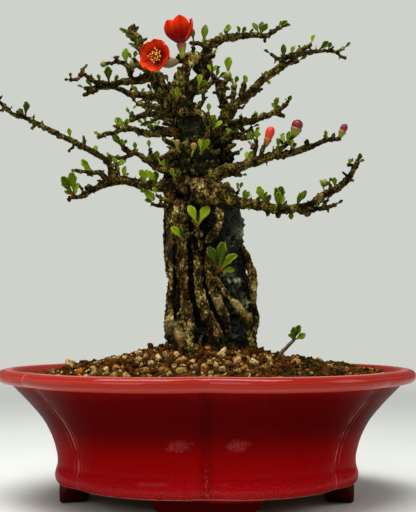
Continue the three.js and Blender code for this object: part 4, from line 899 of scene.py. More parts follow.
# Branches: stems as a radius list and a route, thorns, buds and leaf tufts, as in the solid
branches = {
    "branch_low_left": {
        "stems": [
            ([3.6, 2.8, 2.4, 2.2, 2, 1.6, 1.3, 1.1], [(-19, -9, 187), (-30, -12, 187), (-40, -14, 188),
                (-51, -15, 190), (-59, -16, 188), (-68, -18, 184), (-74, -20, 180), (-81, -21, 179)]),
            ([1.6, 0.9], [(-59, -16, 189), (-63, -18, 194), (-68, -20, 194), (-79, -22, 195)]),
            ([1.4, 1], [(-53, -15, 190), (-53, -16, 195), (-54, -17, 199)]),
            ([2.2, 1.6, 1.5, 1.4, 1.3, 1.2, 1.1, 1, 0.8], [(-56, -16, 190), (-58, -20, 199),
                (-64, -24, 204), (-77, -33, 210), (-89, -42, 215), (-100, -50, 220), (-108, -55, 222),
                (-114, -60, 227), (-120, -64, 232)]),
        ],
        "thorns": [
            ((-112, -58, 225), (-4, -1, -4)), ((-99, -49, 219), (2, -2, 4)), ((-67, -18, 185), (1, -1, -4)),
            ((-72, -29, 207), (-1, 2, 5)),
        ],
        "buds": [((-81, -21, 178), 1.5)],
        "tufts": [
            [(-78, -21, 180), (-9, 11), (-2, 14), (2, 8), (-6, 3)], [(-49, -15, 189), (0, 10)],
            [(-54, -17, 197), (-1, 8), (5, 6)], [(-37, -13, 188), (-3, 9), (1, 9)],
            [(-30, -12, 187), (-5, 9), (-1, 10)], [(-67, -20, 194), (-7, 8), (-6, 4)],
            [(-40, -14, 188), (4, -6), (8, -10)], [(-102, -51, 221), (0, 9), (-4, 5)],
            [(-79, -34, 211), (0, 7)], [(-64, -24, 204), (-2, 6)],
        ],
    },
    "sprig_low_left": {
        "stems": [
            ([1.3, 0.9], [(-18, -11, 176), (-29, -15, 175), (-32, -16, 176)]),
            ([1.2, 0.8], [(-20, -12, 176), (-26, -14, 179), (-30, -15, 181)]),
        ],
        "tufts": [[(-31, -16, 176), (-6, 2)], [(-29, -15, 181), (-4, 4)]],
    },
    "branch_mid_low_left": {
        "stems": [
            ([2.6, 2.2, 1.9, 1.7, 1.5, 1.4, 1.2, 1], [(-13, -13, 195), (-23, -14, 196), (-30, -12, 198),
                (-33, -8, 201), (-38, -2, 205), (-43, 3, 209), (-48, 6, 210), (-52, 8, 213)]),
            ([1.2, 0.8], [(-46, 5, 209), (-53, 8, 207), (-59, 11, 208), (-63, 14, 208)]),
        ],
        "tufts": [
            [(-52, 8, 213), (-6, 9), (-1, 6)], [(-44, 3, 209), (0, 7)], [(-31, -10, 199), (-4, 9), (1, 10)],
            [(-24, -14, 196), (-5, 8), (-1, 8)], [(-62, 13, 208), (-5, 2)],
        ],
    },
    "branch_mid_left": {
        "stems": [([2.8, 2.3, 2, 1.8, 1.6, 1.5, 1.3, 1.2, 1, 0.9], [(-14, -6, 221), (-26, -9, 220),
                (-32, -11, 219), (-38, -13, 219), (-43, -14, 221), (-48, -15, 221), (-52, -16, 220),
                (-56, -17, 218), (-60, -18, 217), (-64, -19, 215)])],
        "thorns": [((-41, -14, 220), (1, -2, -5))],
        "buds": [((-64, -19, 216), 1.4)],
        "tufts": [
            [(-49, -15, 220), (-6, 9), (1, 7)], [(-32, -11, 219), (-3, 6)], [(-63, -19, 216), (-4, 3)],
        ],
    },
    "branch_upper_mid_left": {
        "stems": [
            ([2.6, 1.4], [(-12, 3, 230), (-20, 7, 232), (-29, 12, 234), (-36, 15, 236), (-42, 18, 235),
                (-48, 20, 233)]),
            ([1.3, 1.2], [(-47, 20, 232), (-48, 20, 237)]),
        ],
        "tufts": [[(-36, 15, 236), (-2, 6), (3, 6)], [(-48, 20, 236), (-3, 5)]],
    },
    "branch_back_left": {
        "stems": [
            ([3, 2.4, 2, 1.6, 1.3], [(-14, 2, 234), (-22, 20, 239), (-30, 33, 243), (-37, 44, 247),
                (-46, 53, 250)]),
            ([1.4, 1], [(-30, 33, 243), (-33, 42, 238), (-41, 50, 236)]),
        ],
        "tufts": [
            [(-37, 44, 247), (-4, 6), (2, 7)], [(-46, 53, 250), (-5, 4), (-3, -3)],
            [(-22, 20, 239), (-2, 6)], [(-41, 50, 236), (-5, 3), (0, 6)],
        ],
    },
    "branch_top_left": {
        "stems": [
            ([3.2, 2.6, 2.2, 1.8, 1.6, 1.4, 1.2], [(-30, -6, 253), (-34, -7, 254), (-41, -8, 252),
                (-51, -8, 251), (-59, -9, 248), (-67, -10, 247), (-73, -12, 246)]),
            ([1.7, 1.4, 1.2, 1.1, 1, 0.9], [(-59, -10, 249), (-67, -13, 250), (-72, -15, 253),
                (-75, -16, 254), (-77, -17, 251), (-81, -18, 250)]),
            ([1.4, 1], [(-66, -10, 246), (-74, -12, 242)]),
            ([1.9, 1.5, 1.3, 1.1], [(-33, -8, 255), (-37, -10, 258), (-41, -12, 260), (-44, -13, 263)]),
            ([1.5, 1.3, 1.2, 1.1, 1, 0.9], [(-45, -8, 252), (-47, -12, 257), (-49, -13, 261),
                (-54, -14, 262), (-57, -15, 261), (-62, -16, 260)]),
        ],
        "thorns": [((-65, -12, 250), (-1, 1, 5)), ((-55, -8, 250), (1, -2, -4))],
        "buds": [((-44, -13, 261), 2.6), ((-62, -16, 260), 1.7)],
        "tufts": [
            [(-81, -18, 250), (-4, 0), (-1, 4)], [(-69, -11, 246), (-3, 7)], [(-64, -12, 250), (-1, 5)],
            [(-59, -10, 249), (-1, 11)], [(-56, -9, 249), (1, 6)], [(-48, -13, 259), (-2, 12)],
            [(-46, -10, 254), (1, 8)], [(-73, -12, 246), (-5, 2)], [(-44, -13, 263), (-4, 4), (1, 6)],
        ],
    },
    "branch_under_top_left": {
        "stems": [([2.8, 2.3, 2, 1.7, 1.5, 1.2], [(-20, 2, 241), (-30, 4, 244), (-41, 5, 246),
                (-47, 4, 246), (-52, 2, 248), (-56, 1, 249)])],
        "tufts": [[(-30, 4, 244), (-3, 6)], [(-41, 5, 246), (-5, 5), (2, 5)], [(-55, 1, 249), (-4, 5)]],
    },
    "shoot_top_left": {
        "stems": [([2.2, 1.7, 1.5, 1.6, 2, 2.5], [(-27, 0, 251), (-34, 6, 263), (-40, 10, 273),
                (-44, 12, 281), (-46, 13, 286), (-47, 13, 289)])],
        "buds": [((-46, 12, 285), 3.2), ((-42.5, 12, 283), 2.6), ((-49, 12, 286.5), 2.4)],
        "tufts": [
            [(-48, 13, 286), (-8, 1), (-5, 3)], [(-46, 13, 288), (0.5, 5), (3, 4)],
            [(-42, 11, 274), (-6, 7), (0, 9), (-2, 5)], [(-37, 8, 267), (-3, 4)],
        ],
    },
    "branch_top_right": {
        "stems": [
            ([3.2, 2.7, 2.4, 2, 1.8, 1.6, 1.4, 1.3, 1.2], [(-1, 2, 267), (1, 3, 276), (6, 4, 279),
                (13, 5, 282), (21, 6, 283), (29, 7, 284), (37, 8, 284), (42, 9, 287), (46, 10, 290)]),
            ([1.6, 1], [(1, 3, 275), (-5, 1, 277), (-10, 0, 277)]),
        ],
        "buds": [((12, 4, 286), 1.6), ((46, 10, 290), 1.6)],
        "tufts": [
            [(-2, 2, 276), (1, 13)], [(-8, 1, 277), (-1, 10)], [(11, 4, 282), (3, 8)],
            [(21, 6, 283), (-3, 6), (3, 6)], [(33, 7, 284), (-4, 8), (1, 9), (5, 7)],
            [(45, 10, 289), (1, 5), (6, 4), (8, 1)],
        ],
    },
    "branch_upper_right": {
        "stems": [
            ([3.2, 2.9, 2.7, 2.5, 2.3, 2.2, 2.1, 2, 1.8, 1.6, 1.5, 1.3], [(11, 1, 229), (15, -1, 235),
                (18, -3, 239), (25, -6, 243), (30, -8, 248), (35, -10, 253), (40, -12, 256), (45, -14, 259),
                (46, -15, 263), (50, -16, 265), (56, -17, 266), (63, -18, 267)]),
            ([2.6, 2.5, 2.4, 2.2], [(12, 1, 232), (11, 1, 238), (9, 0, 245), (8, 0, 252)]),
            ([1.8, 1], [(8, 0, 251), (5, -2, 254), (3, -4, 258)]),
            ([1.6, 1.2], [(8, 0, 250), (12, 0, 253), (13, 0, 257)]),
            ([1.1, 0.8], [(62, -18, 267), (68, -19, 267), (73, -20, 267), (77, -21, 266), (81, -21, 268)]),
            ([0.9, 0.7], [(76, -21, 266), (79, -21, 264), (82, -22, 262)]),
            ([1.2, 0.9], [(55, -17, 266), (58, -17, 269), (62, -18, 271)]),
            ([1.4, 1], [(44, -14, 258), (51, -12, 262), (55, -11, 263)]),
            ([1.3, 1], [(46, -15, 264), (43, -13, 264), (39, -12, 267)]),
            ([1.3, 1.4], [(15, -1, 235), (16, 2, 244), (17, 2, 251)]),
        ],
        "buds": [((13, 0, 257), 2.4), ((17, 2, 251), 1.9)],
        "tufts": [
            [(13, 0, 256), (1, 13)], [(3, -4, 257), (-2, 6), (3, 5)], [(17, 2, 251), (-3, 5), (2, 6)],
            [(23, -5, 242), (0, 10)], [(17, -2, 237), (6, 4)], [(46, -15, 262), (0, 10)],
            [(50, -16, 265), (2, 6)], [(55, -11, 263), (6, 3)], [(62, -18, 271), (3, 6)],
            [(66, -19, 267), (7, 6)], [(72, -20, 267), (2, 5)], [(35, -10, 253), (3, -5)],
            [(39, -12, 267), (-5, 2)], [(81, -21, 268), (5, 3)],
        ],
    },
    "branch_mid_right": {
        "stems": [
            ([3, 2.5, 2.2, 2, 1.8, 1.6, 1.5, 1.3, 1.1], [(7, 4, 221), (17, 9, 228), (24, 10, 230),
                (29, 11, 231), (34, 11, 233), (38, 12, 234), (43, 12, 237), (47, 12, 239), (50, 12, 242)]),
            ([1.4, 1.2], [(42, 12, 236), (48, 12, 234)]),
            ([1.2, 0.9], [(19, 10, 229), (24, 11, 224), (28, 12, 227)]),
        ],
        "tufts": [
            [(43, 12, 237), (2, 9), (-2, 6)], [(50, 12, 242), (3, 5)], [(29, 11, 231), (2, 6)],
            [(28, 12, 227), (5, 1)],
        ],
    },
    "branch_back_right": {
        "stems": [
            ([3.2, 2.7, 2.2, 1.8, 1.5], [(-2, 5, 220), (10, 24, 224), (19, 36, 226), (26, 44, 226),
                (32, 52, 230)]),
            ([1.5, 1], [(19, 36, 226), (18, 46, 232), (22, 56, 236)]),
        ],
        "tufts": [
            [(31, 51, 230), (4, 4), (5, -1)], [(19, 36, 226), (1, 6)], [(22, 56, 236), (3, 6), (-3, 5)],
        ],
    },
    "branch_back_top": {
        "stems": [
            ([3, 2.4, 2, 1.6, 1.2], [(-8, 3, 251), (-8, 16, 252), (-4, 29, 254), (1, 41, 260),
                (6, 49, 266)]),
            ([1.5, 1], [(-4, 29, 254), (-10, 37, 258), (-13, 44, 264)]),
        ],
        "tufts": [
            [(6, 49, 266), (2, 7), (7, 3)], [(-13, 44, 264), (-4, 6), (2, 6)], [(-8, 16, 252), (-3, 6)],
        ],
    },
    "branch_back_low": {
        "stems": [
            ([3.4, 2.8, 2.2, 1.8, 1.4], [(-10, 2, 213), (-14, 20, 213), (-18, 34, 212), (-20, 47, 216),
                (-24, 60, 222)]),
            ([1.6, 1], [(-18, 34, 212), (-8, 44, 213), (0, 54, 217)]),
        ],
        "tufts": [
            [(-24, 60, 222), (-5, 6), (2, 7)], [(0, 54, 217), (5, 6), (-2, 7)], [(-20, 47, 216), (-5, 5)],
        ],
    },
    "branch_bud_right": {
        "stems": [
            ([4, 3.4, 2.9, 2.6, 2.4, 2.2, 2, 1.8, 1.5, 1.3, 1.1], [(-1, -16, 191), (8, -18, 194),
                (17, -17, 197), (25, -16, 200), (34, -15, 203), (39, -14, 205), (48, -13, 206),
                (57, -12, 209), (63, -11, 211), (72, -10, 215), (80, -9, 216)]),
            ([1.7, 1.3], [(38, -14, 204), (43, -16, 208), (48, -17, 212), (51, -18, 216)]),
            ([1.3, 1.1], [(32, -15, 202), (33, -18, 208), (35, -19, 212)]),
            ([1.3, 1.1], [(27, -15, 201), (29, -13, 208), (30, -13, 214)]),
            ([1.3, 1], [(15, -17, 196), (17, -16, 193), (20, -16, 193)]),
        ],
        "thorns": [((36, -15, 203), (0, -1, -5))],
        "tufts": [
            [(25, -16, 200), (-2, 8), (2, 8)], [(30, -13, 213), (-5, 6), (0, 8)], [(43, -16, 208), (-1, 7)],
            [(47, -17, 211), (-3, 7), (3, 8)], [(50, -13, 207), (4, 6)], [(72, -10, 215), (0, 6)],
            [(20, -16, 193), (4, 0)],
        ],
    },
    "branch_low_right": {
        "stems": [
            ([5.6, 3.8, 2.9, 2.6, 2.5, 2.5, 2.4, 2.2, 1.8, 1.7, 2, 1.8, 1.6, 1.4, 1.1], [(8, -17, 184),
                (14, -18, 179), (20, -19, 176), (28, -20, 175), (36, -21, 173), (42, -22, 172),
                (47, -23, 172), (56, -24, 173), (61, -25, 175), (67, -26, 179), (72, -27, 182),
                (77, -28, 184), (82, -29, 189), (86, -30, 195), (88, -30, 200)]),
            ([2, 1.6, 1.3, 1.1, 0.9], [(53, -24, 173), (58, -23, 170), (64, -22, 172), (70, -21, 173),
                (76, -20, 175)]),
        ],
        "buds": [
            ((42, -23, 169), 2.2), ((36, -21, 170), 1.8), ((69, -27, 187), 1.9), ((59, -23, 170), 2.5),
        ],
        "tufts": [
            [(21, -19, 176), (2, 8), (4, 7)], [(34, -21, 174), (-3.5, 12), (-1, 8), (2, 8.5), (3.5, 7)],
            [(42, -22, 173), (-2, 12), (0, 10), (2.2, 12.5), (4, 11), (3.4, 7)],
            [(53, -24, 174), (-0.5, 8.5), (1.5, 9), (5, 9)], [(69, -27, 181), (-2, 8)],
            [(75, -28, 183), (-1, 7)], [(88, -30, 198), (1, 6), (4, 3)], [(81, -29, 188), (5, 0)],
            [(63, -22, 171), (-3, 6), (3, 6)], [(24, -19, 176), (0, -6)], [(49, -23, 173), (1, -7)],
            [(76, -20, 175), (5, 2)],
        ],
    },
}
# Green buds, which are leaf coloured, and brown ones, which are swellings of the wood
greenBuds = {(-62, -16, 260), (13, 0, 257), (46, 10, 290), (12, 4, 286), (-44, -13, 261), (17, 2, 251),
             (69, -27, 187)}
twig = {
    "voxel": 0.36, "keep": 0.48, "slim": 1.13, "flake": 0.36, "ridge": 0.34, "knotEvery": 3.0, "knot": 0.46,
    "stubChance": 0.55, "spurEvery": 5.8, "spurLength": (2, 6), "leafyShare": 0.26,
}


def addKnots(shape, spots, rng):  # rings of old bud scars, and now and then a short dead spur
    walked = 0
    for (before, _), (place, radius) in zip(spots, spots[1:]):
        walked += (place - before).length
        if walked < twig["knotEvery"] * rng.uniform(0.7, 1.3):
            continue
        walked = 0
        way = (place - before).normalized()
        size = radius * 0.75 + twig["knot"]
        out = (way.orthogonal() * math.cos(rng.uniform(0, 6.28)) + way.cross(way.orthogonal())
               * math.sin(rng.uniform(0, 6.28)) + Vector((0, 0, 0.3))).normalized()
        addKnob(shape, place + out * radius * 0.5, (size, size, size), 1, 0.3)
        if rng.random() < twig["stubChance"]:
            addSpike(shape, place, out * (radius + rng.uniform(1.2, 3.2)), rng.uniform(0.55, 0.9))


def spursAlong(route, thick, rng):  # short side twigs, some with a pair of leaves at the tip
    spurs, tufts = [], []
    walked = -4
    spots = alongRoute(route, thick, 1.5)
    for (before, _), (place, radius) in zip(spots, spots[1:-2]):
        walked += (place - before).length
        if walked < twig["spurEvery"] * rng.uniform(0.75, 1.3):
            continue
        walked = 0
        way = Vector((rng.gauss(0, 0.7), rng.gauss(0, 0.7), rng.uniform(-0.35, 1.1))).normalized()
        length = radius + rng.uniform(*twig["spurLength"])
        bend = Vector((rng.gauss(0, 0.8), rng.gauss(0, 0.8), rng.gauss(0.3, 0.6)))
        tip = place + way * length
        spurs.append(([1.25, 0.85, 0.6], [place, place + way * length * 0.55 + bend, tip]))
        if rng.random() < twig["leafyShare"]:
            count = rng.choice((1, 2, 2))
            leaves = [(rng.uniform(-3, 3), rng.uniform(2.5, 5)) for _ in range(count)]
            tufts.append([tip - way * 0.4, *leaves])
    return spurs, tufts


def withSpurs(parts, seed):
    rng = random.Random(seed)
    stems, tufts = list(parts["stems"]), list(parts["tufts"])
    for thick, route in parts["stems"]:
        spurs, sprigs = spursAlong(route, thick, rng)
        stems += spurs
        tufts += sprigs
    return {**parts, "stems": stems, "tufts": tufts}


def makeBranchWood(name, parts, seed, owner=None):
    rng = random.Random(seed)

    def build(shape):
        for thick, route in parts["stems"]:
            slim = [radius * twig["slim"] for radius in thick]
            spots = addTube(shape, route, slim, sides=12, step=1.1, gnarl=0.36, pace=0.3)
            addKnots(shape, spots, rng)
            tip, radius = spots[-1]
            addKnob(shape, tip, [radius * 1.15] * 3, 1, 0.2)
        for base, along in parts.get("thorns", []):
            addSpike(shape, base, along, 0.8)
        for centre, radius in parts.get("buds", []):
            if centre not in greenBuds:
                addKnob(shape, centre, (radius * 0.9, radius * 0.9, radius * 1.15), 2, 0.25)
        for foot, *tips in parts["tufts"]:
            addKnob(shape, Vector(foot) - Vector((0, 0, 0.4)), (1.25, 1.25, 1.1), 1, 0.3)
    relief = barkRelief(twig["flake"], twig["ridge"], (0.8, 0.8, 0.8))
    mesh = thinned(carved(fused(name, build, twig["voxel"]), relief), twig["keep"])
    # how deep in hollows the twig wood lies, for painted shade
    hollows(mesh, 3.5, rays=6)
    for key in ("damp", "cut", "worn", "pale"):
        mark(mesh, key, np.zeros(len(mesh.vertices)))
    newPiece(name + "_wood", mesh, twigMaterial, "twig", owner or name)


for order, (name, parts) in enumerate(branches.items()):
    full = withSpurs(parts, 140 + order)
    makeBranchWood(name, full, 60 + order)
    makeLeaves(name + "_leaves", full["tufts"], 100 + order, name)
# Short twigs that crowd the forks of the old wood
crown = {
    "stems": [
        ([1.5, 1.1, 0.9], [(-8, -6, 233), (-2.4, -6, 239), (-2.2, -6, 244)]),
        ([2.3, 2.2, 2.3, 2.6], [(-8, -4, 236), (-2.3, -5, 230.7), (1.8, -5, 227), (6, -4, 220)]),
        ([1.2, 0.9], [(0.3, -6, 228), (0.9, -7, 232)]), ([1.2, 0.9], [(6, -6, 221), (4.4, -7, 226)]),
        ([1.3, 1, 0.7], [(-12, -4, 247.6), (-6.3, -6, 247.4), (-2.2, -7, 248.2)]),
        ([1.6, 1.3], [(20.4, -8, 242), (22.4, -9, 249)]),
        ([1.3, 1.1], [(-24.3, -8, 231.5), (-23.4, -9, 236)]),
        ([1.8, 1.5, 1.2], [(-16, -12, 209), (-22, -14, 206), (-29, -15, 202)]),
        ([1.2, 0.9], [(-31, -13, 200), (-34, -14, 209)]), ([1.4, 1.0], [(-12, -16, 215), (-11, -20, 207)]),
        ([1.6, 1.2], [(5, -3, 212), (12, -10, 219)]), ([1.6, 1.1], [(9, 1, 209), (17, -6, 213)]),
        ([1.6, 1.0], [(0, -8, 202), (7, -15, 208)]), ([1.6, 1.0], [(11, 3, 206), (19, -3, 209)]),
        ([1.3, 1.0], [(-3, -12, 212), (1, -18, 218)]), ([1.4, 0.9], [(-19, -9, 212), (-26, -12, 216)]),
        ([1.3, 0.9], [(-18, -6, 226), (-25, -10, 228)]), ([1.6, 1.1], [(-22, -3, 240), (-27, -9, 243)]),
        ([1.4, 1.0], [(-20, -4, 245), (-23, -9, 250)]), ([1.3, 0.9], [(-13, -6, 250), (-18, -9, 253)]),
        ([1.5, 1.1], [(-12, -6, 256), (-17, -10, 259)]), ([1.8, 1.4], [(-2, 0, 266), (4, -5, 268)]),
        ([1.5, 1.1], [(-9, -3, 267), (-8, -8, 272)]), ([1.4, 1.0], [(0, 6, 262), (7, 9, 264)]),
        ([1.4, 1.0], [(-10, 8, 236), (-6, 15, 240)]), ([1.4, 1.0], [(-20, 4, 226), (-27, 10, 229)]),
        ([1.5, 1.0], [(4, 8, 214), (9, 16, 217)]),
    ],
    "tufts": [
        [(-2.2, -6, 243), (-1.5, 3), (2.5, 4)], [(0.9, -7, 231.5), (0.6, 7)],
        [(4.4, -7, 225.5), (-1.5, 5.5)], [(22.4, -9, 248.5), (0.3, 7), (2, 4)],
        [(-34, -14, 208.5), (-1, 6)], [(12, -12, 218), (1, 5), (3, 3)], [(1, -18, 217), (-1, 5)],
        [(-26, -12, 215.5), (-3, 4)], [(-27, -9, 242.5), (-1, 5)], [(-23, -9, 249.5), (-2, 6)],
        [(-17.8, -9, 253), (1.4, 5), (-1, 4)], [(4, -5, 267.5), (2, 4)], [(-6, 15, 239.5), (1, 5), (-2, 4)],
        [(9, 16, 216.5), (2, 5)], [(19, -3, 208.5), (3, 3)], [(-31.5, -14, 251), (-1, 6)],
        [(-13, -8, 250), (1, 5), (-2, 3)],
    ],
}
makeBranchWood("crown", crown, 91, "trunk_and_roots")
makeLeaves("crown_leaves", crown["tufts"], 92, "trunk_and_roots")
print("branches and their leaves")


# Sprouts on the old wood, stalked buds and the sucker
sprouts = {
    "sprout_fork": ([(-18, -6, 238), (-18, -13, 239)], [(2, 8), (-4, 6)]),
    "sprout_wound": ([(3, -1, 218), (4, -9, 222)], [(1, 9), (5, 5)]),
    "sprout_crown": ([(-5, 1, 247), (-5, -7, 247)], [(1, 9), (5, 5)]),
    "sprout_middle": ([(-4, -10, 203.4), (-3.4, -20, 205.4)], [(-0.4, 8.6), (5.4, 8.4)]),
    "sprout_shoulder_left": ([(-17, -10, 189), (-19, -17, 190)], [(-2, 7), (4, 5)]),
    "sprout_bole": ([(-5, -12, 161), (-5.4, -22, 162)], [(-5, 12.5), (6.4, 12.5), (-3.5, 4)]),
    "sprout_root_left": ([(-13, -13, 153), (-14, -22, 154)], [(-7, 8), (-2, 8)]),
    "sprout_root_right": ([(4, -12, 134), (7, -20, 135.5)], [(-6, 15), (4, 16.5), (12, 9.5), (9.5, 1)]),
    "sucker": ([(42, -18, 76), (43, -18, 86), (47, -18, 91), (51, -18, 95)], [(-1, 9), (4, 9), (7, 4)]),
}
stalkBuds = {
    "bud_pale": ([(-15.6, -12, 207), (-17, -20, 207.8), (-17.6, -22, 209.4)], (1.8, 1.8, 2.4), "calyx"),
    "bud_pink": ([(-9, -14, 203.6), (-8.9, -20, 204.2), (-7.8, -23, 207.2)], (1.9, 1.9, 2.5), "bud"),
    "bud_root": ([(8, -11, 133), (10, -19, 133.4), (10.4, -20, 133.8)], (1.35, 1.35, 1.5), "bud"),
}


def stalkFinish(name, low, high):
    finish = Finish(name, Subsurface_Weight=0.1, Subsurface_Radius=(0.004, 0.004, 0.001),
                    Subsurface_Scale=0.3)
    mottle = finish.noise(500, 4)
    return finish.wear(Base_Color=finish.ramp(mottle, (0.35, *low), (0.62, *high)),
                       Roughness=0.5 + mottle * 0.2, Normal=finish.bump(mottle, 0.4, 0.0003))


stalkMaterial = stalkFinish("youngStalk", (58, 30, 12), (92, 74, 20))
budStalkMaterial = stalkFinish("budStalk", (96, 88, 20), (140, 148, 44))


def makeSprout(name, route, tips, seed):
    thick = [1.4, 1.2, 1.1, 0.95] if name == "sucker" else [1.1, 0.75]

    def build(shape):
        addTube(shape, route, thick, sides=12, step=0.7, gnarl=0.3, pace=0.6)
        addKnob(shape, route[-1], (1.0, 1.0, 0.9), 2, 0.4)
    mesh = fused(name, build, 0.3)
    mesh.shade_smooth()
    newPiece(name + "_stalk", mesh, stalkMaterial, "leaf", name)
    makeLeaves(name + "_leaves", [[route[-1], *tips]], seed, name, isOpen=True)


for order, (name, (route, tips)) in enumerate(sprouts.items()):
    makeSprout(name, route, tips, 200 + order)
print("sprouts and sucker")


def budFinish(name, low, high, tip):
    finish = Finish(name, Subsurface_Weight=0.05, Subsurface_Radius=(0.004, 0.002, 0.001),
                    Subsurface_Scale=0.2, Specular_IOR_Level=0.3, Coat_Weight=0.15, Coat_Roughness=0.25)
    along = finish.marked("along")
    streak = finish.noise(700, 3, 0.6, (1, 1, 0.3))
    body = finish.ramp(along + (streak - 0.5) * 0.25, (0.12, *low), (0.5, *high), (0.92, *tip))
    return finish.wear(Base_Color=body, Roughness=0.38 + streak * 0.2,
                       Normal=finish.bump(streak, 0.35, 0.0003))


calyxMaterial = budFinish("greenCalyx", (88, 98, 12), (112, 126, 26), (120, 84, 34))
redBudMaterial = budFinish("redBud", (112, 10, 16), (120, 10, 20), (84, 5, 14))
brightCupMaterial = budFinish("brightCup", (92, 62, 14), (132, 84, 26), (164, 60, 20))
brightBudMaterial = budFinish("brightBud", (128, 76, 26), (184, 50, 18), (190, 22, 12))
pinkBudMaterial = budFinish("pinkBud", (104, 116, 16), (130, 104, 40), (152, 64, 48))
paleBudMaterial = budFinish("paleBud", (92, 100, 14), (118, 104, 32), (126, 72, 34))
leafBudMaterial = budFinish("leafBud", (70, 62, 14), (98, 108, 16), (126, 96, 52))


# A turned form from start to end: the profile is height share and radius, and folds wind round it
def lathed(name, start, end, profile, fold, twist=0.0, lobes=3, sides=28, rows=22):
    way = end - start
    turn = Vector((0, 0, 1)).rotation_difference(way.normalized())
    shares = []
    mesh = bpy.data.meshes.new(name)
    shape = bmesh.new()
    rings = []
    for i in range(rows + 1):
        share = i / rows
        spot = share * (len(profile) - 1)
        low = min(int(spot), len(profile) - 2)
        part = smooth(spot - low) * 0.4 + (spot - low) * 0.6
        height = between(profile[low][0], profile[low + 1][0], part)
        radius = max(0.02, between(profile[low][1], profile[low + 1][1], part))
        ring = []
        for k in range(sides):
            angle = 2 * math.pi * k / sides
            saw = ((angle * lobes / (2 * math.pi) + height * twist) % 1) - 0.5
            out = radius * (1 + fold * saw * smooth(height * 3))
            point = Vector((math.cos(angle) * out, math.sin(angle) * out, height * way.length))
            ring.append(shape.verts.new((start + turn @ point) * mm))
            shares.append(height)
        rings.append(ring)
    skinRings(shape, rings)
    shape.to_mesh(mesh)
    shape.free()
    mark(mesh, "along", shares)
    mesh.shade_smooth()
    return mesh


# Height share and radius share of a slim and of a full bud
slimBud = [(0, 0.3), (0.06, 0.62), (0.2, 0.92), (0.42, 1), (0.65, 0.9), (0.85, 0.6), (0.96, 0.28), (1, 0.02)]
fullBud = [(0, 0.3), (0.15, 0.5), (0.35, 0.8), (0.52, 0.96), (0.68, 1), (0.84, 0.84), (0.95, 0.46), (1, 0.02)]


def scaled(profile, radius):
    return [(height, share * radius) for height, share in profile]


def stalkMesh(name, route, thick, sides, gnarl):
    mesh = meshFrom(name + "Stalk", lambda shape: addTube(shape, route, thick, sides, 0.7, gnarl, 0.5))
    mesh.shade_smooth()
    return mesh


def makeStalkBud(name, route, size, slotName):
    top = Vector(route[-1])
    centre = top + Vector((0, 0, size[2] * 0.7))
    head = lathed(name, centre - Vector((0, 0, size[2])), centre + Vector((0.4, 0, size[2])),
                  scaled(fullBud, size[0]), fold=0.16, twist=0.4)
    material = paleBudMaterial if name == "bud_pale" else pinkBudMaterial
    newPiece(name + "_head", head, material, slotName, name)
    stalk = stalkMesh(name, route, [0.7, 0.45, 0.7], 12, 0.2)
    newPiece(name + "_stalk", stalk, budStalkMaterial, slotName, name)


for name, (route, size, slotName) in stalkBuds.items():
    makeStalkBud(name, route, size, slotName)

for order, centre in enumerate(sorted(greenBuds)):
    owner, radius = next((name, size) for name, parts in branches.items()
                         for place, size in parts.get("buds", []) if place == centre)
    low = Vector(centre) - Vector((0, 0, radius * 1.15))
    mesh = lathed(f"leafBud{order}", low, low + Vector((0, -0.3, radius * 2.35)), scaled(slimBud, radius),
                  fold=0.12, twist=0.6)
    newPiece(f"leaf_bud_{order}", mesh, leafBudMaterial, "leaf", owner)

# Flower buds: a folded red head in a green cup
flowerBuds = {
    "flower_bud_a": ((35.2, -19, 210.6), (38.8, -20, 221.6), 2.7, "bright"),
    "flower_bud_b": ((51.8, -18, 216), (55, -19, 225.8), 3.3, "dark"),
    "flower_bud_c": ((80.2, -9, 216.8), (84, -10, 225), 2.2, "dark"),
}
# how far up the cup reaches, how wide its lip is, and the two finishes
budKinds = {"bright": (0.34, 0.9, brightCupMaterial, brightBudMaterial),
            "dark": (0.5, 1.05, calyxMaterial, redBudMaterial)}


def makeFlowerBud(name, cup, tip, radius, kind):
    rise, lip, cupMaterial, headMaterial = budKinds[kind]
    cup, way = Vector(cup), Vector(tip) - Vector(cup)
    head = lathed(name + "Head", cup + way * 0.06, Vector(tip), scaled(fullBud, radius), fold=0.2, twist=0.55)
    newPiece(name + "_petals", head, headMaterial, "bud", name + "_head")
    profile = [(0, 0.6), (0.15, radius * 0.42), (0.4, radius * 0.66 * lip), (0.7, radius * 0.92 * lip),
               (0.92, radius * lip), (1, radius * 0.88 * lip)]
    sepals = lathed(name + "Cup", cup - way * 0.1, cup + way * rise, profile, fold=0.05, lobes=5)
    newPiece(name + "_sepals", sepals, cupMaterial, "calyx", name + "_cup")


for name, values in flowerBuds.items():
    makeFlowerBud(name, *values)
print("buds")

# Open flowers: a cup, five petals and a brush of stamens
blooms = {
    "bloom_front": {
        "stalk": (-17.6, -6, 264), "cup": (-26.8, -13, 262.7), "face": (-0.42, -0.9, 0.1), "turn": 0.3,
        "length": 11.6, "width": 12.4, "angles": (86, 68, 48, 16), "brush": 20, "reach": 5.0, "depth": 4.6,
        "stem": (1.3, 3.4, 3.6), "cupRadius": 3.6, "shifts": (0.1, 0.06, -0.2, -0.14, 0.1),
        "sizes": (1, 1, 1, 1.04, 1.06), "lengths": (1, 0.96, 1, 1, 1),
    },
    "bloom_top": {
        "stalk": (-14.4, -5.2, 264.6), "cup": (-14.8, -7, 269.4), "face": (-0.12, -0.1, 0.99), "turn": -1.4,
        "length": 17, "width": 12.4, "angles": (66, 44, 13, -8), "brush": 22, "reach": 4.4, "depth": 5.6,
        "stem": (1.4, 1.7, 2.0), "cupRadius": 2.9, "shifts": (-0.04, 0.14, 0, 0, 0.14),
        "sizes": (0.84, 0.72, 0.9, 0.9, 0.98), "lengths": (1.07, 0.98, 0.96, 0.96, 0.97),
    },
}
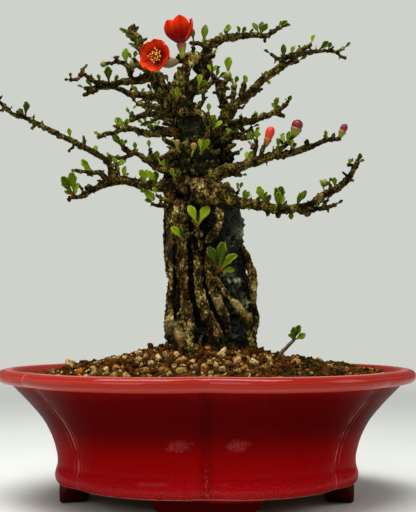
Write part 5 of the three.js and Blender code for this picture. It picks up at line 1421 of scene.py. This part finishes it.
petal = {
    "rows": 18, "columns": 7, "thick": 0.32, "claw": 0.4, "widest": 0.62, "cup": 1.3, "ruffle": 0.18,
    "twist": 0.55,
}


def petalFinish(name, *tones):
    finish = Finish(name, Subsurface_Weight=0.08, Subsurface_Radius=(0.004, 0.001, 0.0005),
                    Subsurface_Scale=0.2, Specular_IOR_Level=0.04)
    across, along = finish.uv("X"), finish.uv("Y")
    fromMiddle = finish.math("ABSOLUTE", across - 0.5)
    wave = finish.math("SINE", (across - 0.5) * 92 / (0.35 + along))
    veins = finish.level(wave, 0.3, 1) * 0.35
    body = finish.ramp(along + (finish.noise(240, 3) - 0.5) * 0.35,
                       *[(place, *tone) for place, tone in zip((0.0, 0.22, 0.45, 0.75, 1.0), tones)])
    middle = (1 - finish.level(fromMiddle, 0.02, 0.16)) * 0.35
    # a painted highlight along each petal's edges
    rim = finish.level(fromMiddle, 0.42, 0.5) * 0.3
    coloured = finish.painted(body, (veins * (1 - along * 0.5), 110, 4, 2), (middle, 120, 6, 2),
                              (rim, 226, 76, 34))
    height = finish.noise(800, 3, 0.5) * 0.4 + veins
    return finish.wear(Base_Color=coloured, Roughness=0.46 + veins * 0.2,
                       Normal=finish.bump(height, 0.4, 0.0004))


petalMaterials = {
    # the red petals darken towards their foot, as painted shade deep in the flower
    "bloom_front": petalFinish("petalRed", (60, 3, 0), (126, 12, 0), (180, 30, 1), (216, 60, 6),
                               (194, 38, 2)),
    "bloom_top": petalFinish("petalPinkFoot", (128, 44, 36), (118, 14, 14), (142, 8, 0), (206, 44, 4),
                             (190, 26, 2)),
}
filamentMaterial = stalkFinish("filament", (196, 110, 30), (222, 160, 60))
antherMaterial = stalkFinish("anther", (206, 140, 16), (248, 206, 70))


def bloomFrame(bloom):
    axis = Vector(bloom["face"]).normalized()
    side = Vector((0, 0, 1)).cross(axis)
    if side.length < 0.4:
        side = Vector((1, 0, 0)) - axis * axis.x
    side.normalize()
    return axis, side, axis.cross(side), Vector(bloom["cup"]) + axis * bloom["depth"]


def petalHalfWidth(along):
    if along < petal["widest"]:
        return between(petal["claw"], 1, smooth(along / petal["widest"]))
    rest = (along - petal["widest"]) / (1 - petal["widest"])
    return math.sqrt(max(0, 1 - rest ** 2.3))


def makePetals(name, bloom):
    axis, side, other, throat = bloomFrame(bloom)
    rng = random.Random(17)
    verts, faces, uvs = [], [], []
    for i in range(5):
        turn = bloom["turn"] + i * 2 * math.pi / 5 + bloom["shifts"][i]
        out = side * math.cos(turn) + other * math.sin(turn)
        across = side * -math.sin(turn) + other * math.cos(turn)
        first = len(verts)
        spot = throat + out * 1.3 + axis * 0.4
        phase = rng.uniform(0, 6)
        lastAlong = 0
        for row in range(petal["rows"] + 1):
            along = 1 - (1 - row / petal["rows"]) ** 1.3
            place = min(along, 0.999) * (len(bloom["angles"]) - 1)
            low = int(place)
            lean = math.radians(between(bloom["angles"][low], bloom["angles"][low + 1], place - low))
            step = (along - lastAlong) * bloom["length"] * bloom["lengths"][i]
            spot = spot + (out * math.sin(lean) + axis * math.cos(lean)) * step
            lastAlong = along
            inward = axis * math.sin(lean) - out * math.cos(lean)
            half = petalHalfWidth(min(along, 0.99)) * bloom["width"] / 2 * bloom["sizes"][i]
            for k in range(-petal["columns"], petal["columns"] + 1):
                part = k / petal["columns"]
                ruffle = petal["ruffle"] * math.sin(part * 7 + phase + along * 5) * along ** 2
                lift = petal["cup"] * part ** 2 * smooth(along * 1.6)
                lift = lift + petal["twist"] * part * smooth(along * 2) + ruffle
                verts.append((spot + across * half * part + inward * lift) * mm)
                uvs.append((part * 0.5 + 0.5, along))
        faces += gridFaces(first, petal["rows"], 2 * petal["columns"] + 1)
    mesh = sheetMesh(name, "petalUv", verts, faces, uvs,
                     ("SOLIDIFY", {"thickness": petal["thick"] * mm, "offset": 0}),
                     ("SUBSURF", {"levels": 1, "render_levels": 1}))
    newPiece(name + "_corolla", mesh, petalMaterials[name], "petal", name + "_petals")


def stamenKinds():
    def thread(shape):
        route = [(0, 0, 0), (0.04, 0, 0.35), (0.06, 0.03, 0.7), (0.0, 0.02, 0.97)]
        addTube(shape, route, [0.028, 0.02, 0.018], 6, 0.25)

    def head(shape):
        addKnob(shape, (0, 0.02, 1.0), (0.12, 0.09, 0.09), 1, 0.3)
    meshes = []
    for build in (thread, head):
        mesh = meshFrom("stamenPart", build)
        mesh.transform(Matrix.Scale(1 / mm, 4))
        mesh.shade_smooth()
        meshes.append(mesh)
    return meshes


def makeStamens(name, bloom):
    axis, side, other, throat = bloomFrame(bloom)
    rng = random.Random(23)
    spots = []
    for i in range(bloom["brush"]):
        spread = 0.1 + 0.62 * math.sqrt((i + 0.5) / bloom["brush"])
        turn = i * goldenTurn
        out = side * math.cos(turn) + other * math.sin(turn)
        way = axis * math.cos(spread) + out * math.sin(spread)
        rotation = Vector((0, 0, 1)).rotation_difference(way) @ Quaternion((0, 0, 1), rng.uniform(0, 6))
        length = bloom["reach"] * rng.uniform(0.8, 1.12)
        foot = throat + axis * 0.9 + out * spread * 1.6
        spots.append((foot, rotation.to_euler(), Vector((length,) * 3), 0, rng.random()))
    for kind, (part, material) in enumerate((("threads", filamentMaterial), ("anthers", antherMaterial))):
        carrier = spotMesh(part, spots)
        mesh = grownFrom([stamenKinds()[kind]], name + part, carrier, leafSpray, Size=mm, Finish=material)
        newPiece(f"{name}_{part}", mesh, None, "stamen", name + "_stamens")


cupMaterials = {
    "bloom_front": budFinish("blushCup", (108, 112, 46), (140, 92, 74), (110, 18, 8)),
    "bloom_top": budFinish("freshCup", (130, 158, 12), (142, 104, 44), (130, 58, 38)),
}
stemMaterials = {
    "bloom_front": stalkFinish("blushStem", (96, 102, 40), (142, 88, 72)),
    "bloom_top": stalkFinish("freshStem", (106, 122, 20), (144, 166, 24)),
}


def makeCalyx(name, bloom):
    axis, side, other, throat = bloomFrame(bloom)
    radius = bloom["cupRadius"]
    cup = Vector(bloom["cup"])
    profile = [(0, 0.9), (0.15, 1.5), (0.4, radius * 0.8), (0.7, radius * 0.98), (0.92, radius * 1.08),
               (1, radius * 0.8)]
    cupMesh = lathed(name, cup - axis * 1.2, throat + axis * 0.1, profile, fold=0.06, lobes=5)
    newPiece(name + "_cup", cupMesh, cupMaterials[name], "calyx", name + "_calyx")
    middle = (Vector(bloom["stalk"]) + cup) / 2 + Vector((0, 0, -0.8))
    stalk = stalkMesh(name, [bloom["stalk"], middle, cup], bloom["stem"], 14, 0.15)
    newPiece(name + "_stalk", stalk, stemMaterials[name], "calyx", name + "_calyx")


for name, bloom in blooms.items():
    makeCalyx(name, bloom)
    makePetals(name, bloom)
    makeStamens(name, bloom)
clearShelf(leafShelf)
print("flowers")

# Pot: the six-lobed outline at each height, as in the solid, with a rolled lip and cloud feet
pot = {
    "rimHalfWidth": 125.4, "baseHalfWidth": 89,
    "rim": {"middle": 92, "sideX": 101, "sideY": 57, "endBulge": 24, "bulge": 20},
    "base": {"middle": 68, "sideX": 72, "sideY": 37, "endBulge": 17, "bulge": 14},
    "lobeSteps": 48, "middleSoft": 8, "profileSteps": 3,
    "outer": [
        (86.4, 11), (88.9, 11.4), (90.3, 13.4), (90.7, 15.8), (90.2, 18.6), (89.4, 21.2), (89.1, 24.2),
        (89.8, 29.4), (92.6, 38.5), (98, 48.5), (105.8, 57.8), (112, 64.2), (116.4, 68.6), (117.6, 69.6),
        (119.4, 69.8), (122.8, 70.4), (124.9, 72.2), (125.4, 74.4), (123.8, 77), (119.6, 78), (116.4, 77.6),
        (114.6, 76),
    ],
    "inner": [(111.4, 70), (96, 54), (84, 33), (79.5, 15.5)],
    "narrowest": 79.5, "top": 78.05, "under": 11, "drainRadius": 7, "drainOffset": 38, "creaseReach": 30,
    "footTop": 12.5, "footOuter": 88.0, "footInner": 73, "footHalfWidth": 31, "endFootHalfWidth": 26,
    "footStep": 4, "soleGap": 12, "shoulder": 6, "footSteps": 60,
    # where up the wall, and the glaze's colour there: darker under the lip and at the foot as painted shade,
    # brighter low on the wall as painted reflection
    "glaze": [(0.125, 56, 2, 0), (0.147, 140, 5, 9), (0.21, 160, 5, 9), (0.3, 150, 0, 2), (0.42, 134, 0, 1),
              (0.5, 112, 0, 1), (0.58, 84, 0, 0), (0.68, 74, 0, 0), (0.84, 80, 0, 0), (0.885, 100, 4, 4)],
    "lampReflections": ((-0.015, 0.0405), (0.0158, 0.0408)),  # two painted reflections of lamps on the front, in metres
}


def lobedRing(halfWidth, height, steps, inset=0.0, isFoot=False):
    opening = (halfWidth - pot["baseHalfWidth"]) / (pot["rimHalfWidth"] - pot["baseHalfWidth"])
    size = {key: between(pot["base"][key], pot["rim"][key], opening) for key in pot["rim"]}
    middle, sideX, sideY = size["middle"], size["sideX"], size["sideY"]
    corners = [Vector(corner) for corner in ((sideX, -sideY), (sideX, sideY), (0, middle),
                                             (-sideX, sideY), (-sideX, -sideY), (0, -middle))]
    ring = []
    for lobe, start in enumerate(corners):
        end = corners[(lobe + 1) % 6]
        bulge = size["endBulge"] if abs(start.x - end.x) < 1e-6 else size["bulge"]
        chord = end - start
        half = chord.length / 2
        way = chord.normalized()
        out = Vector((way.y, -way.x))
        radius = (half * half + bulge * bulge) / (2 * bulge)
        centre = (start + end) / 2 + out * (bulge - radius)
        reach = math.asin(half / radius)
        for step in range(steps):
            turn = between(-reach, reach, step / steps)
            point = centre + (out * math.cos(turn) + way * math.sin(turn)) * radius
            inward = point.normalized() if step == 0 else out * math.cos(turn) + way * math.sin(turn)
            ring.append(point - inward * inset)
    ring = [(ring[i - 1] + ring[i] * 2 + ring[(i + 1) % len(ring)]) / 4 for i in range(len(ring))]
    for _ in range(0 if isFoot else pot["middleSoft"]):  # the creases at front and back are only shallow
        before = list(ring)
        for corner in (2 * steps, 5 * steps):
            for i in range(corner - 3, corner + 4):
                ring[i] = (before[i - 1] + before[i] * 2 + before[i + 1]) / 4
    return [Vector((point.x, point.y, height)) for point in ring]


def profileRows(points, steps):  # a smooth line through the profile's points
    spots = alongRoute([(x, 0, z) for x, z in points], [1, 1], 1 / steps * 3)
    return [(place.x, place.z) for place, _ in spots]


def potShell():
    rows = profileRows(pot["outer"] + pot["inner"], pot["profileSteps"])
    rows = [(max(x, pot["narrowest"]), min(max(z, pot["under"]), pot["top"])) for x, z in rows]
    steps = pot["lobeSteps"]
    count = 6 * steps
    far = pot["creaseReach"]
    verts, faces, sideCrease, midCrease, clay = [], [], [], [], []
    for halfWidth, height in rows:
        ring = lobedRing(halfWidth, height, steps)
        for i, point in enumerate(ring):
            verts.append(point * mm)
            nearest = round(i / steps) * steps % count
            away = min((point - ring[nearest]).length, far)
            isMiddle = nearest in (2 * steps, 5 * steps)
            midCrease.append(away if isMiddle else far)
            sideCrease.append(far if isMiddle else away)
            clay.append(1 if height < pot["under"] + 0.6 else 0)
    rings = [range(row * count, (row + 1) * count) for row in range(len(rows))]
    for low, high in zip(rings, rings[1:]):
        faces += bandFaces(low, high)
    faces += [tuple(reversed(rings[0])), tuple(rings[-1])]
    mesh = meshOf("potShell", verts, faces)
    for key, values in (("sideCrease", sideCrease), ("midCrease", midCrease), ("clay", clay)):
        mark(mesh, key, values)
    return mesh


def footHeight(fromMiddle, halfWidth):  # the cloud outline: a flat sole, a step and a rounded shoulder
    gap, shoulder = halfWidth - fromMiddle, pot["shoulder"]
    if gap > pot["soleGap"]:
        return 0
    if gap > shoulder:
        return pot["footStep"] * ((pot["soleGap"] - gap) / shoulder) ** 2
    return pot["footStep"] + (pot["footTop"] - pot["footStep"]) * (1 - math.sqrt(max(0, gap) / shoulder))


def addFoot(shape, axis, sign, halfWidth):  # axis 0 for the feet at the ends, 1 for front and back
    outer = lobedRing(pot["footOuter"], 0, pot["footSteps"], isFoot=True)
    inner = lobedRing(pot["footInner"], 0, pot["footSteps"], isFoot=True)
    order = [i for i, point in enumerate(outer)
             if point[axis] * sign > 0 and abs(point[1 - axis]) < halfWidth - 0.05]
    turnStart = next((k for k in range(1, len(order)) if order[k] - order[k - 1] > 1), 0)
    order = order[turnStart:] + order[:turnStart]
    columns = []
    for i in order:
        out, back = outer[i], inner[i]
        low = footHeight(abs(out[1 - axis]), halfWidth)
        into = (back - out).normalized()
        span = (back - out).length
        top = pot["footTop"]
        rows = [(0, top), (0, between(top, low, 0.6)), (0.1, low + 0.7), (0.5, low + 0.2), (1.2, low),
                (span - 1, low), (span, low + 1), (span, top)]
        columns.append([shape.verts.new((out + into * depth + Vector((0, 0, max(height, low)))) * mm)
                        for depth, height in rows])
    count = len(columns[0])
    for left, right in zip(columns, columns[1:]):
        for k in range(count):
            after = (k + 1) % count
            shape.faces.new((left[k], left[after], right[after], right[k]))
    shape.faces.new(columns[0])
    shape.faces.new(list(reversed(columns[-1])))


def glazeFinish():
    finish = Finish("redGlaze", Coat_Roughness=0.08, Specular_IOR_Level=0.0)
    up = finish.axis("Z")
    height = up / 0.078
    cloud, speck = finish.noise(22, 4), finish.noise(1300, 3, 0.75)
    # painted shade under the lip and at the foot, and painted reflection low on the wall
    glaze = finish.ramp(height + (cloud - 0.5) * 0.1, *pot["glaze"])
    rings = finish.noise(40, 3, 0.6, (0.12, 0.12, 14))  # runs of glaze round the lip
    isLip = finish.level(up, 0.0692, 0.0702)
    lipRed = finish.mix(finish.level(rings, 0.46, 0.62) * 0.5, tint(152, 34, 26), tint(180, 68, 54))
    # painted shade on the top of the lip, against the light from above
    topDark = finish.level(up, 0.0748, 0.0766) * 0.6
    # a pale line on the lip's top edge: glaze thin on the edge, and painted highlight
    thinGlazeAndHighlight = finish.level(up, 0.0776, 0.07795) * finish.level(cloud, 0.3, 0.55) * 0.5
    fromSide, fromMiddle = finish.marked("sideCrease"), finish.marked("midCrease")
    # pale lines along the side creases: glaze thin on their edges, and painted highlight on the bevels
    side = 1 - finish.level(fromSide, 0.2, 1.2)
    beside = finish.level(fromSide, 3.0, 3.6) * (1 - finish.level(fromSide, 3.8, 4.6)) * (1 - isLip) * 0.4
    lines = (side + beside) * finish.level(finish.noise(110, 3), 0.36, 0.62) * 0.42
    # painted shade in the front and back creases
    creaseShade = (1 - finish.level(fromMiddle + (cloud - 0.5) * 3, 1.5, 5.5)) * (1 - isLip) * 0.3
    middle = 1 - finish.level(fromMiddle, 0.3, 1.6)
    flecks = middle * finish.level(speck, 0.57, 0.68) * (1 - finish.level(height, 0.24, 0.5)) * 0.4
    low = 1 - finish.level(height, 0.12, 0.36)
    body = finish.level(height, 0.135, 0.15)
    band = low * body * finish.level(speck, 0.47, 0.66)
    spots = finish.level(finish.noise(420, 2), 0.72, 0.78) * (1 - isLip) * 0.35
    red = finish.painted(finish.mix(isLip, glaze, lipRed), (topDark, 122, 18, 14), (thinGlazeAndHighlight, 206, 132, 118),
                         (lines, 190, 116, 110), (creaseShade, 44, 0, 2), (flecks, 206, 150, 120),
                         (band * 0.62, 206, 52, 64), (spots, 176, 62, 58))
    front = 1 - finish.level(finish.axis("Y"), -0.06, -0.05)
    # two painted reflections of lamps on the front wall
    for x, z in pot["lampReflections"]:
        across, above = (finish.axis("X") - x) / 0.009, (up - z) / 0.005
        ragged = across * across + above * above + (finish.noise(180, 3) - 0.5) * 2.4
        spot = (1 - finish.level(ragged, 0.0, 0.8)) * finish.level(speck, 0.4, 0.62)
        red = finish.painted(red, (spot * front * 0.24, 198, 98, 102))
    marked = finish.marked("clay")
    clay = marked * finish.level(finish.noise(260, 3) + marked * 0.5, 0.7, 0.9)
    sideways = finish.math("ABSOLUTE", finish.axis("X"))
    coat = isLip * 0.36 + finish.level(sideways, 0.06, 0.11) * 0.14 + 0.01 + body * 0.02 + low * body * 0.12
    peel = finish.noise(120, 2) * 0.6 + finish.noise(1100, 2) * 0.07
    return finish.wear(Base_Color=finish.painted(red, (clay, 158, 116, 80)), Coat_Weight=coat * (1 - clay),
                       Roughness=0.3 + band * 0.2 + clay * 0.5, Normal=finish.bump(peel, 0.2, 0.002))


def makePot():
    def drills(shape):
        for x in (-pot["drainOffset"], pot["drainOffset"]):
            addTube(shape, [(x, 0, -4), (x, 0, 24)], [pot["drainRadius"]] * 2, 40, 30)
    shell = potShell()
    holes = placed("holes", meshFrom("holes", drills))
    cut = settled(shell, ("BOOLEAN", {"object": holes, "operation": "DIFFERENCE", "solver": "MANIFOLD"}))
    bpy.data.objects.remove(holes)
    cut.shade_smooth()
    cut.set_sharp_from_angle(angle=math.radians(50))
    material = glazeFinish()
    newPiece("pot_shell", cut, material, "glaze", "pot")

    def feet(shape):
        for sign in (-1, 1):
            addFoot(shape, 1, sign, pot["footHalfWidth"])
            addFoot(shape, 0, sign, pot["endFootHalfWidth"])
    mesh = meshFrom("feet", feet)
    for key in ("sideCrease", "midCrease"):
        mark(mesh, key, [pot["creaseReach"]] * len(mesh.vertices))
    mark(mesh, "clay", [1 if vert.co.z < 0.5 * mm else 0 for vert in mesh.vertices])
    mesh.shade_smooth()
    mesh.set_sharp_from_angle(angle=math.radians(60))
    newPiece("pot_feet", mesh, material, "glaze", "pot")


makePot()
screenFinish = Finish("drainNet", Roughness=0.7)
weave = screenFinish.ramp(screenFinish.noise(400), (0.3, 34, 34, 36), (0.7, 52, 52, 54))
screenFinish.wear(Base_Color=weave, Normal=screenFinish.bump(screenFinish.noise(1200), 0.3, 0.0002))
for name in ("drain_screen_left", "drain_screen_right"):
    net = frame["nodes"][name]
    net.data.materials.clear()
    net.data.materials.append(screenFinish.material)
print("pot")

# Soil: a dark bed that mounds up to the trunk, under coarse and fine grains; its near black is painted shade
# between them
soil = {
    "edge": 73.5, "rise": 16, "plug": 5.5, "plugRadius": 34, "bed": 1.0, "halfWidth": 112.0, "halfDepth": 84,
    "inset": 0.45, "steps": 14, "rings": 34, "seed": 7, "density": 1600000,
    "sides": [(112.0, 72.2), (96, 54), (84, 33), (79.6, 17.4)],
    "heaps": [(-100, -2.6), (-36, 1.6)], "heapWidth": 15, "heapDepth": 36,
    "loose": ((-81, -12, 81.2), (2.9, 2.4, 2.7)),
    # part, gap, grain size, how deep it sits, how many kinds of grain it has, and whether they are finer
    "layers": [("pebbles", 9.0, 1.75, -0.2, 8, True), ("grains", 3.0, 1.6, 0.1, 12, False),
               ("crumbs", 1.95, 0.92, 0.6, 12, False)],
}


def soilHeight(x, y):
    outward = min(1, math.hypot(x / soil["halfWidth"], y / soil["halfDepth"]))
    fromTrunk = math.hypot(x, y) / soil["plugRadius"]
    heap = sum(tall * math.exp(-((x - at) / soil["heapWidth"]) ** 2 - (y / soil["heapDepth"]) ** 2)
               for at, tall in soil["heaps"])
    mound = soil["edge"] + soil["rise"] * (1 - outward) ** 0.85
    return mound + soil["plug"] * math.exp(-fromTrunk * fromTrunk) + heap


def soilSurface(drop, reach=0.985):  # the points of the mound from its edge inwards, and its faces
    ring = lobedRing(soil["halfWidth"], 0, soil["steps"], inset=soil["inset"])
    count, rows = len(ring), soil["rings"]
    verts, faces = [], []
    for row in range(rows + 1):
        share = reach * (1 - row / (rows + 1))
        for point in ring:
            x, y = point.x * share, point.y * share
            lump = noise.fractal(Vector((x, y, 3)) * 0.09, 0.8, 2.1, 3) * 1.6
            verts.append(Vector((x, y, soilHeight(x, y) - drop + lump * min(1, (1 - share) * 9))) * mm)
    rings = [range(row * count, (row + 1) * count) for row in range(rows + 1)]
    for low, high in zip(rings, rings[1:]):
        faces += bandFaces(low, high)
    return verts, [*faces, tuple(rings[-1])], rings[0]


def soilBed():
    verts, faces, last = soilSurface(soil["bed"])
    for halfWidth, height in soil["sides"]:
        now = range(len(verts), len(verts) + len(last))
        verts += [point * mm for point in lobedRing(halfWidth, height, soil["steps"], inset=soil["inset"])]
        faces += bandFaces(now, last)
        last = now
    mesh = meshOf("soilBed", verts, [*faces, tuple(reversed(last))])
    mesh.shade_smooth()
    return mesh


def grainKinds(count, fine):  # lumps with knocked-off corners, finer ones for the pebbles
    meshes = []
    for kind in range(count):
        shape = bmesh.new()
        bmesh.ops.create_icosphere(shape, subdivisions=2 if fine else 1, radius=1)
        stretch = Vector((1.2, 1.0, 0.78))
        for vert in shape.verts:
            lump = noise.voronoi(vert.co * 1.1 + Vector((kind * 7.3, 2, 5)))[0][0]
            bent = noise.noise(vert.co * 1.6 + Vector((kind * 3.1, 0, 0)))
            corner = max(abs(vert.co.x), abs(vert.co.y), abs(vert.co.z))
            vert.co = vert.co * stretch * (0.7 + 0.5 * lump + 0.5 * bent) / between(1, corner, 0.6)
        mesh = bpy.data.meshes.new("grainKind")
        shape.to_mesh(mesh)
        shape.free()
        mesh.shade_smooth()
        meshes.append(mesh)
    return meshes


def strewTree():  # grains strewn over a surface, each with its own size, turn and tone
    tree = GrowTree("strewGrains", Ground="Geometry", Shapes="Collection", Gap="Float", Size="Float",
                    Seed="Int", Kinds="Int", Finish="Material")
    ground, shapes, gap, size, seed, kinds, finish = tree.given
    points = tree.node("GeometryNodeDistributePointsOnFaces", {"distribute_method": "POISSON"}, {
        "Mesh": ground, "Distance Min": gap, "Density Max": soil["density"], "Seed": seed})

    def chance(offset, low, high, kind="FLOAT"):
        lowKey, highKey, out = {"FLOAT": (2, 3, 1), "FLOAT_VECTOR": (0, 1, 0), "INT": (4, 5, 2)}[kind]
        return tree.node("FunctionNodeRandomValue", {"data_type": kind},
                         {lowKey: low, highKey: high, "Seed": seed + offset}, out=out)

    def store(geometry, key, value):
        return tree.node("GeometryNodeStoreNamedAttribute", {"data_type": "FLOAT", "domain": "INSTANCE"}, {
            "Geometry": geometry, "Name": key, "Value": value})
    turn = chance(1, (0, 0, 0), (6.28, 6.28, 6.28), "FLOAT_VECTOR")
    spread = chance(2, 0, 1)
    scale = (0.62 + spread * spread * 0.95) * size
    grains = tree.stand(points, shapes, chance(3, 0, kinds - 1, "INT"), turn, scale)
    return tree.ended(store(grains, "tone", chance(4, 0, 1)), finish)


def grainFinish(name, paleShare):
    finish = Finish(name, Specular_IOR_Level=0.02)
    tone = finish.marked("tone")
    mottle = finish.noise(900, 4, 0.65)

    def spin(times):  # a second number for each grain, made from its tone
        turned = tone * times
        return turned - finish.math("FLOOR", turned)
    nearTrunk = finish.math("ABSOLUTE", finish.axis("X") + 0.012)
    share = paleShare * (1.15 - finish.level(nearTrunk, 0.03, 0.1) * 0.75)
    brown = finish.ramp(spin(7.3), (0.0, 32, 14, 0), (0.22, 64, 32, 3), (0.42, 88, 52, 16),
                        (0.62, 50, 29, 7), (0.8, 116, 70, 25), (1.0, 78, 58, 29))
    pale = finish.ramp(spin(13.7), (0.0, 174, 142, 78), (0.3, 206, 182, 120), (0.55, 136, 102, 52),
                       (0.8, 184, 148, 78), (0.93, 156, 112, 54), (0.985, 196, 96, 24))
    isPale = finish.level(tone - 1 + share, 0.0, 0.01)
    colour = finish.mix(isPale, brown, pale)
    mossy = finish.level(finish.noise(30, 2) + finish.axis("X") * 2.4, 0.62, 0.7) * (1 - isPale)
    # the grains darker where the mottle is low and lighter where it is high
    darkMottle = (1 - finish.level(mottle, 0.36, 0.56)) * 0.85
    lit = finish.level(mottle, 0.55, 0.72) * 0.22
    shaded = finish.painted(colour, (mossy * 0.6, 38, 40, 12), (darkMottle, 14, 7, 1), (lit, 146, 98, 40))
    return finish.wear(Base_Color=shaded, Roughness=0.8 + mottle * 0.2,
                       Normal=finish.bump(mottle, 1.0, 0.0009))


def makeSoil():
    bed = soilBed()
    bedFinish = Finish("soilBedBrown", Roughness=0.95)
    # near black, as painted shade in the gaps between the grains
    bedTone = bedFinish.ramp(bedFinish.noise(600, 4), (0.3, 3, 1, 0), (0.7, 17, 9, 2))
    bedFinish.wear(Base_Color=bedTone, Normal=bedFinish.bump(bedFinish.noise(500, 4), 1.0, 0.001))
    newPiece("soil_bed", bed, bedFinish.material, "soil", "soil")
    tree = strewTree()
    grainMaterial = grainFinish("soilGrain", 0.09)
    pebbleMaterial = grainFinish("soilPebble", 0.57)
    for part, gap, size, drop, kinds, isFine in soil["layers"]:
        verts, faces, _ = soilSurface(drop, 0.972)
        mesh = grownFrom(grainKinds(kinds, isFine), "soil" + part, meshOf("ground", verts, faces), tree,
                         Gap=gap * mm, Size=size * mm, Seed=soil["seed"], Kinds=kinds,
                         Finish=pebbleMaterial if isFine else grainMaterial)
        mesh.shade_smooth()
        newPiece("soil_" + part, mesh, None, "soil", "soil")
    loose = meshFrom("loose", lambda shape: addKnob(shape, *soil["loose"], 3, 0.5))
    mark(loose, "tone", [0.97] * len(loose.vertices))
    loose.shade_smooth()
    newPiece("soil_loose_stone", loose, pebbleMaterial, "soil", "soil")


makeSoil()
print("soil")

# Moss: dark cushions on the old wood of the crown, and a few low lumps on the soil at the right
moss = {
    "seed": 31, "count": 1100, "kinds": 8, "low": 193, "fadeFrom": 214, "high": 240, "size": (0.45, 1.35),
    "soilSize": (1.2, 2.2), "clearOfCut": 7.5,
    "soilPlaces": [(60, -38), (62.5, -40), (58, -36), (71, -42), (74, -40), (68, -44), (52, -45), (80, -36)],
}


def mossFinish():
    finish = Finish("darkMoss", Roughness=0.95, Specular_IOR_Level=0.05)
    tone, grain = finish.marked("tone"), finish.noise(1900, 4, 0.75)
    colour = finish.ramp(tone * 0.4 + grain * 0.8, (0.36, 3, 4, 0), (0.54, 14, 17, 1), (0.7, 42, 44, 7),
                         (0.86, 96, 92, 30))
    return finish.wear(Base_Color=colour, Normal=finish.bump(grain, 1.0, 0.0008))


def makeMoss():
    rng = random.Random(moss["seed"])

    def cushion(place, size, power):
        turn = Vector([rng.uniform(0, 6) for _ in range(3)])
        form = Vector((size, size, size * 0.8))
        return place, turn, form, rng.randrange(moss["kinds"]), rng.random() ** power
    (x, z), _, y = trunk["cut"]
    wood = [vert for vert in bareTrunk.vertices if moss["low"] < vert.co.z / mm < moss["high"]]
    clumps = []
    for vert in rng.sample(wood, moss["count"]):
        place = vert.co / mm
        fade = 1 - smooth((place.z - moss["fadeFrom"]) / (moss["high"] - moss["fadeFrom"]))
        if rng.random() > 0.25 + 0.75 * fade or (place - Vector((x, y - 0.4, z))).length < moss["clearOfCut"]:
            continue
        size = rng.uniform(*moss["size"])
        clumps.append(cushion(place - vert.normal * size * 0.2, size, 1.6))
    lumps = []
    for x, y in moss["soilPlaces"]:
        for _ in range(5):
            size = rng.uniform(*moss["soilSize"])
            dx, dy = x + rng.gauss(0, 1.6), y + rng.gauss(0, 1.2)
            lumps.append(cushion(Vector((dx, dy, soilHeight(dx, dy) + 0.5)), size, 1))
    material = mossFinish()
    for name, spots, slotName, owner in (("crown_moss", clumps, "bark", "trunk_and_roots"),
                                         ("soil_moss", lumps, "soil", "soil")):
        shapes = grainKinds(moss["kinds"], False)
        mesh = grownFrom(shapes, name, spotMesh(name, spots), leafSpray, Size=mm, Finish=material)
        mesh.shade_smooth()
        newPiece(name, mesh, None, slotName, owner)


makeMoss()
print("moss")

shown = [piece for piece in bpy.data.objects if piece.type == "MESH" and not piece.hide_render]
print("pieces", len(shown), "faces", sum(len(piece.data.polygons) for piece in shown))
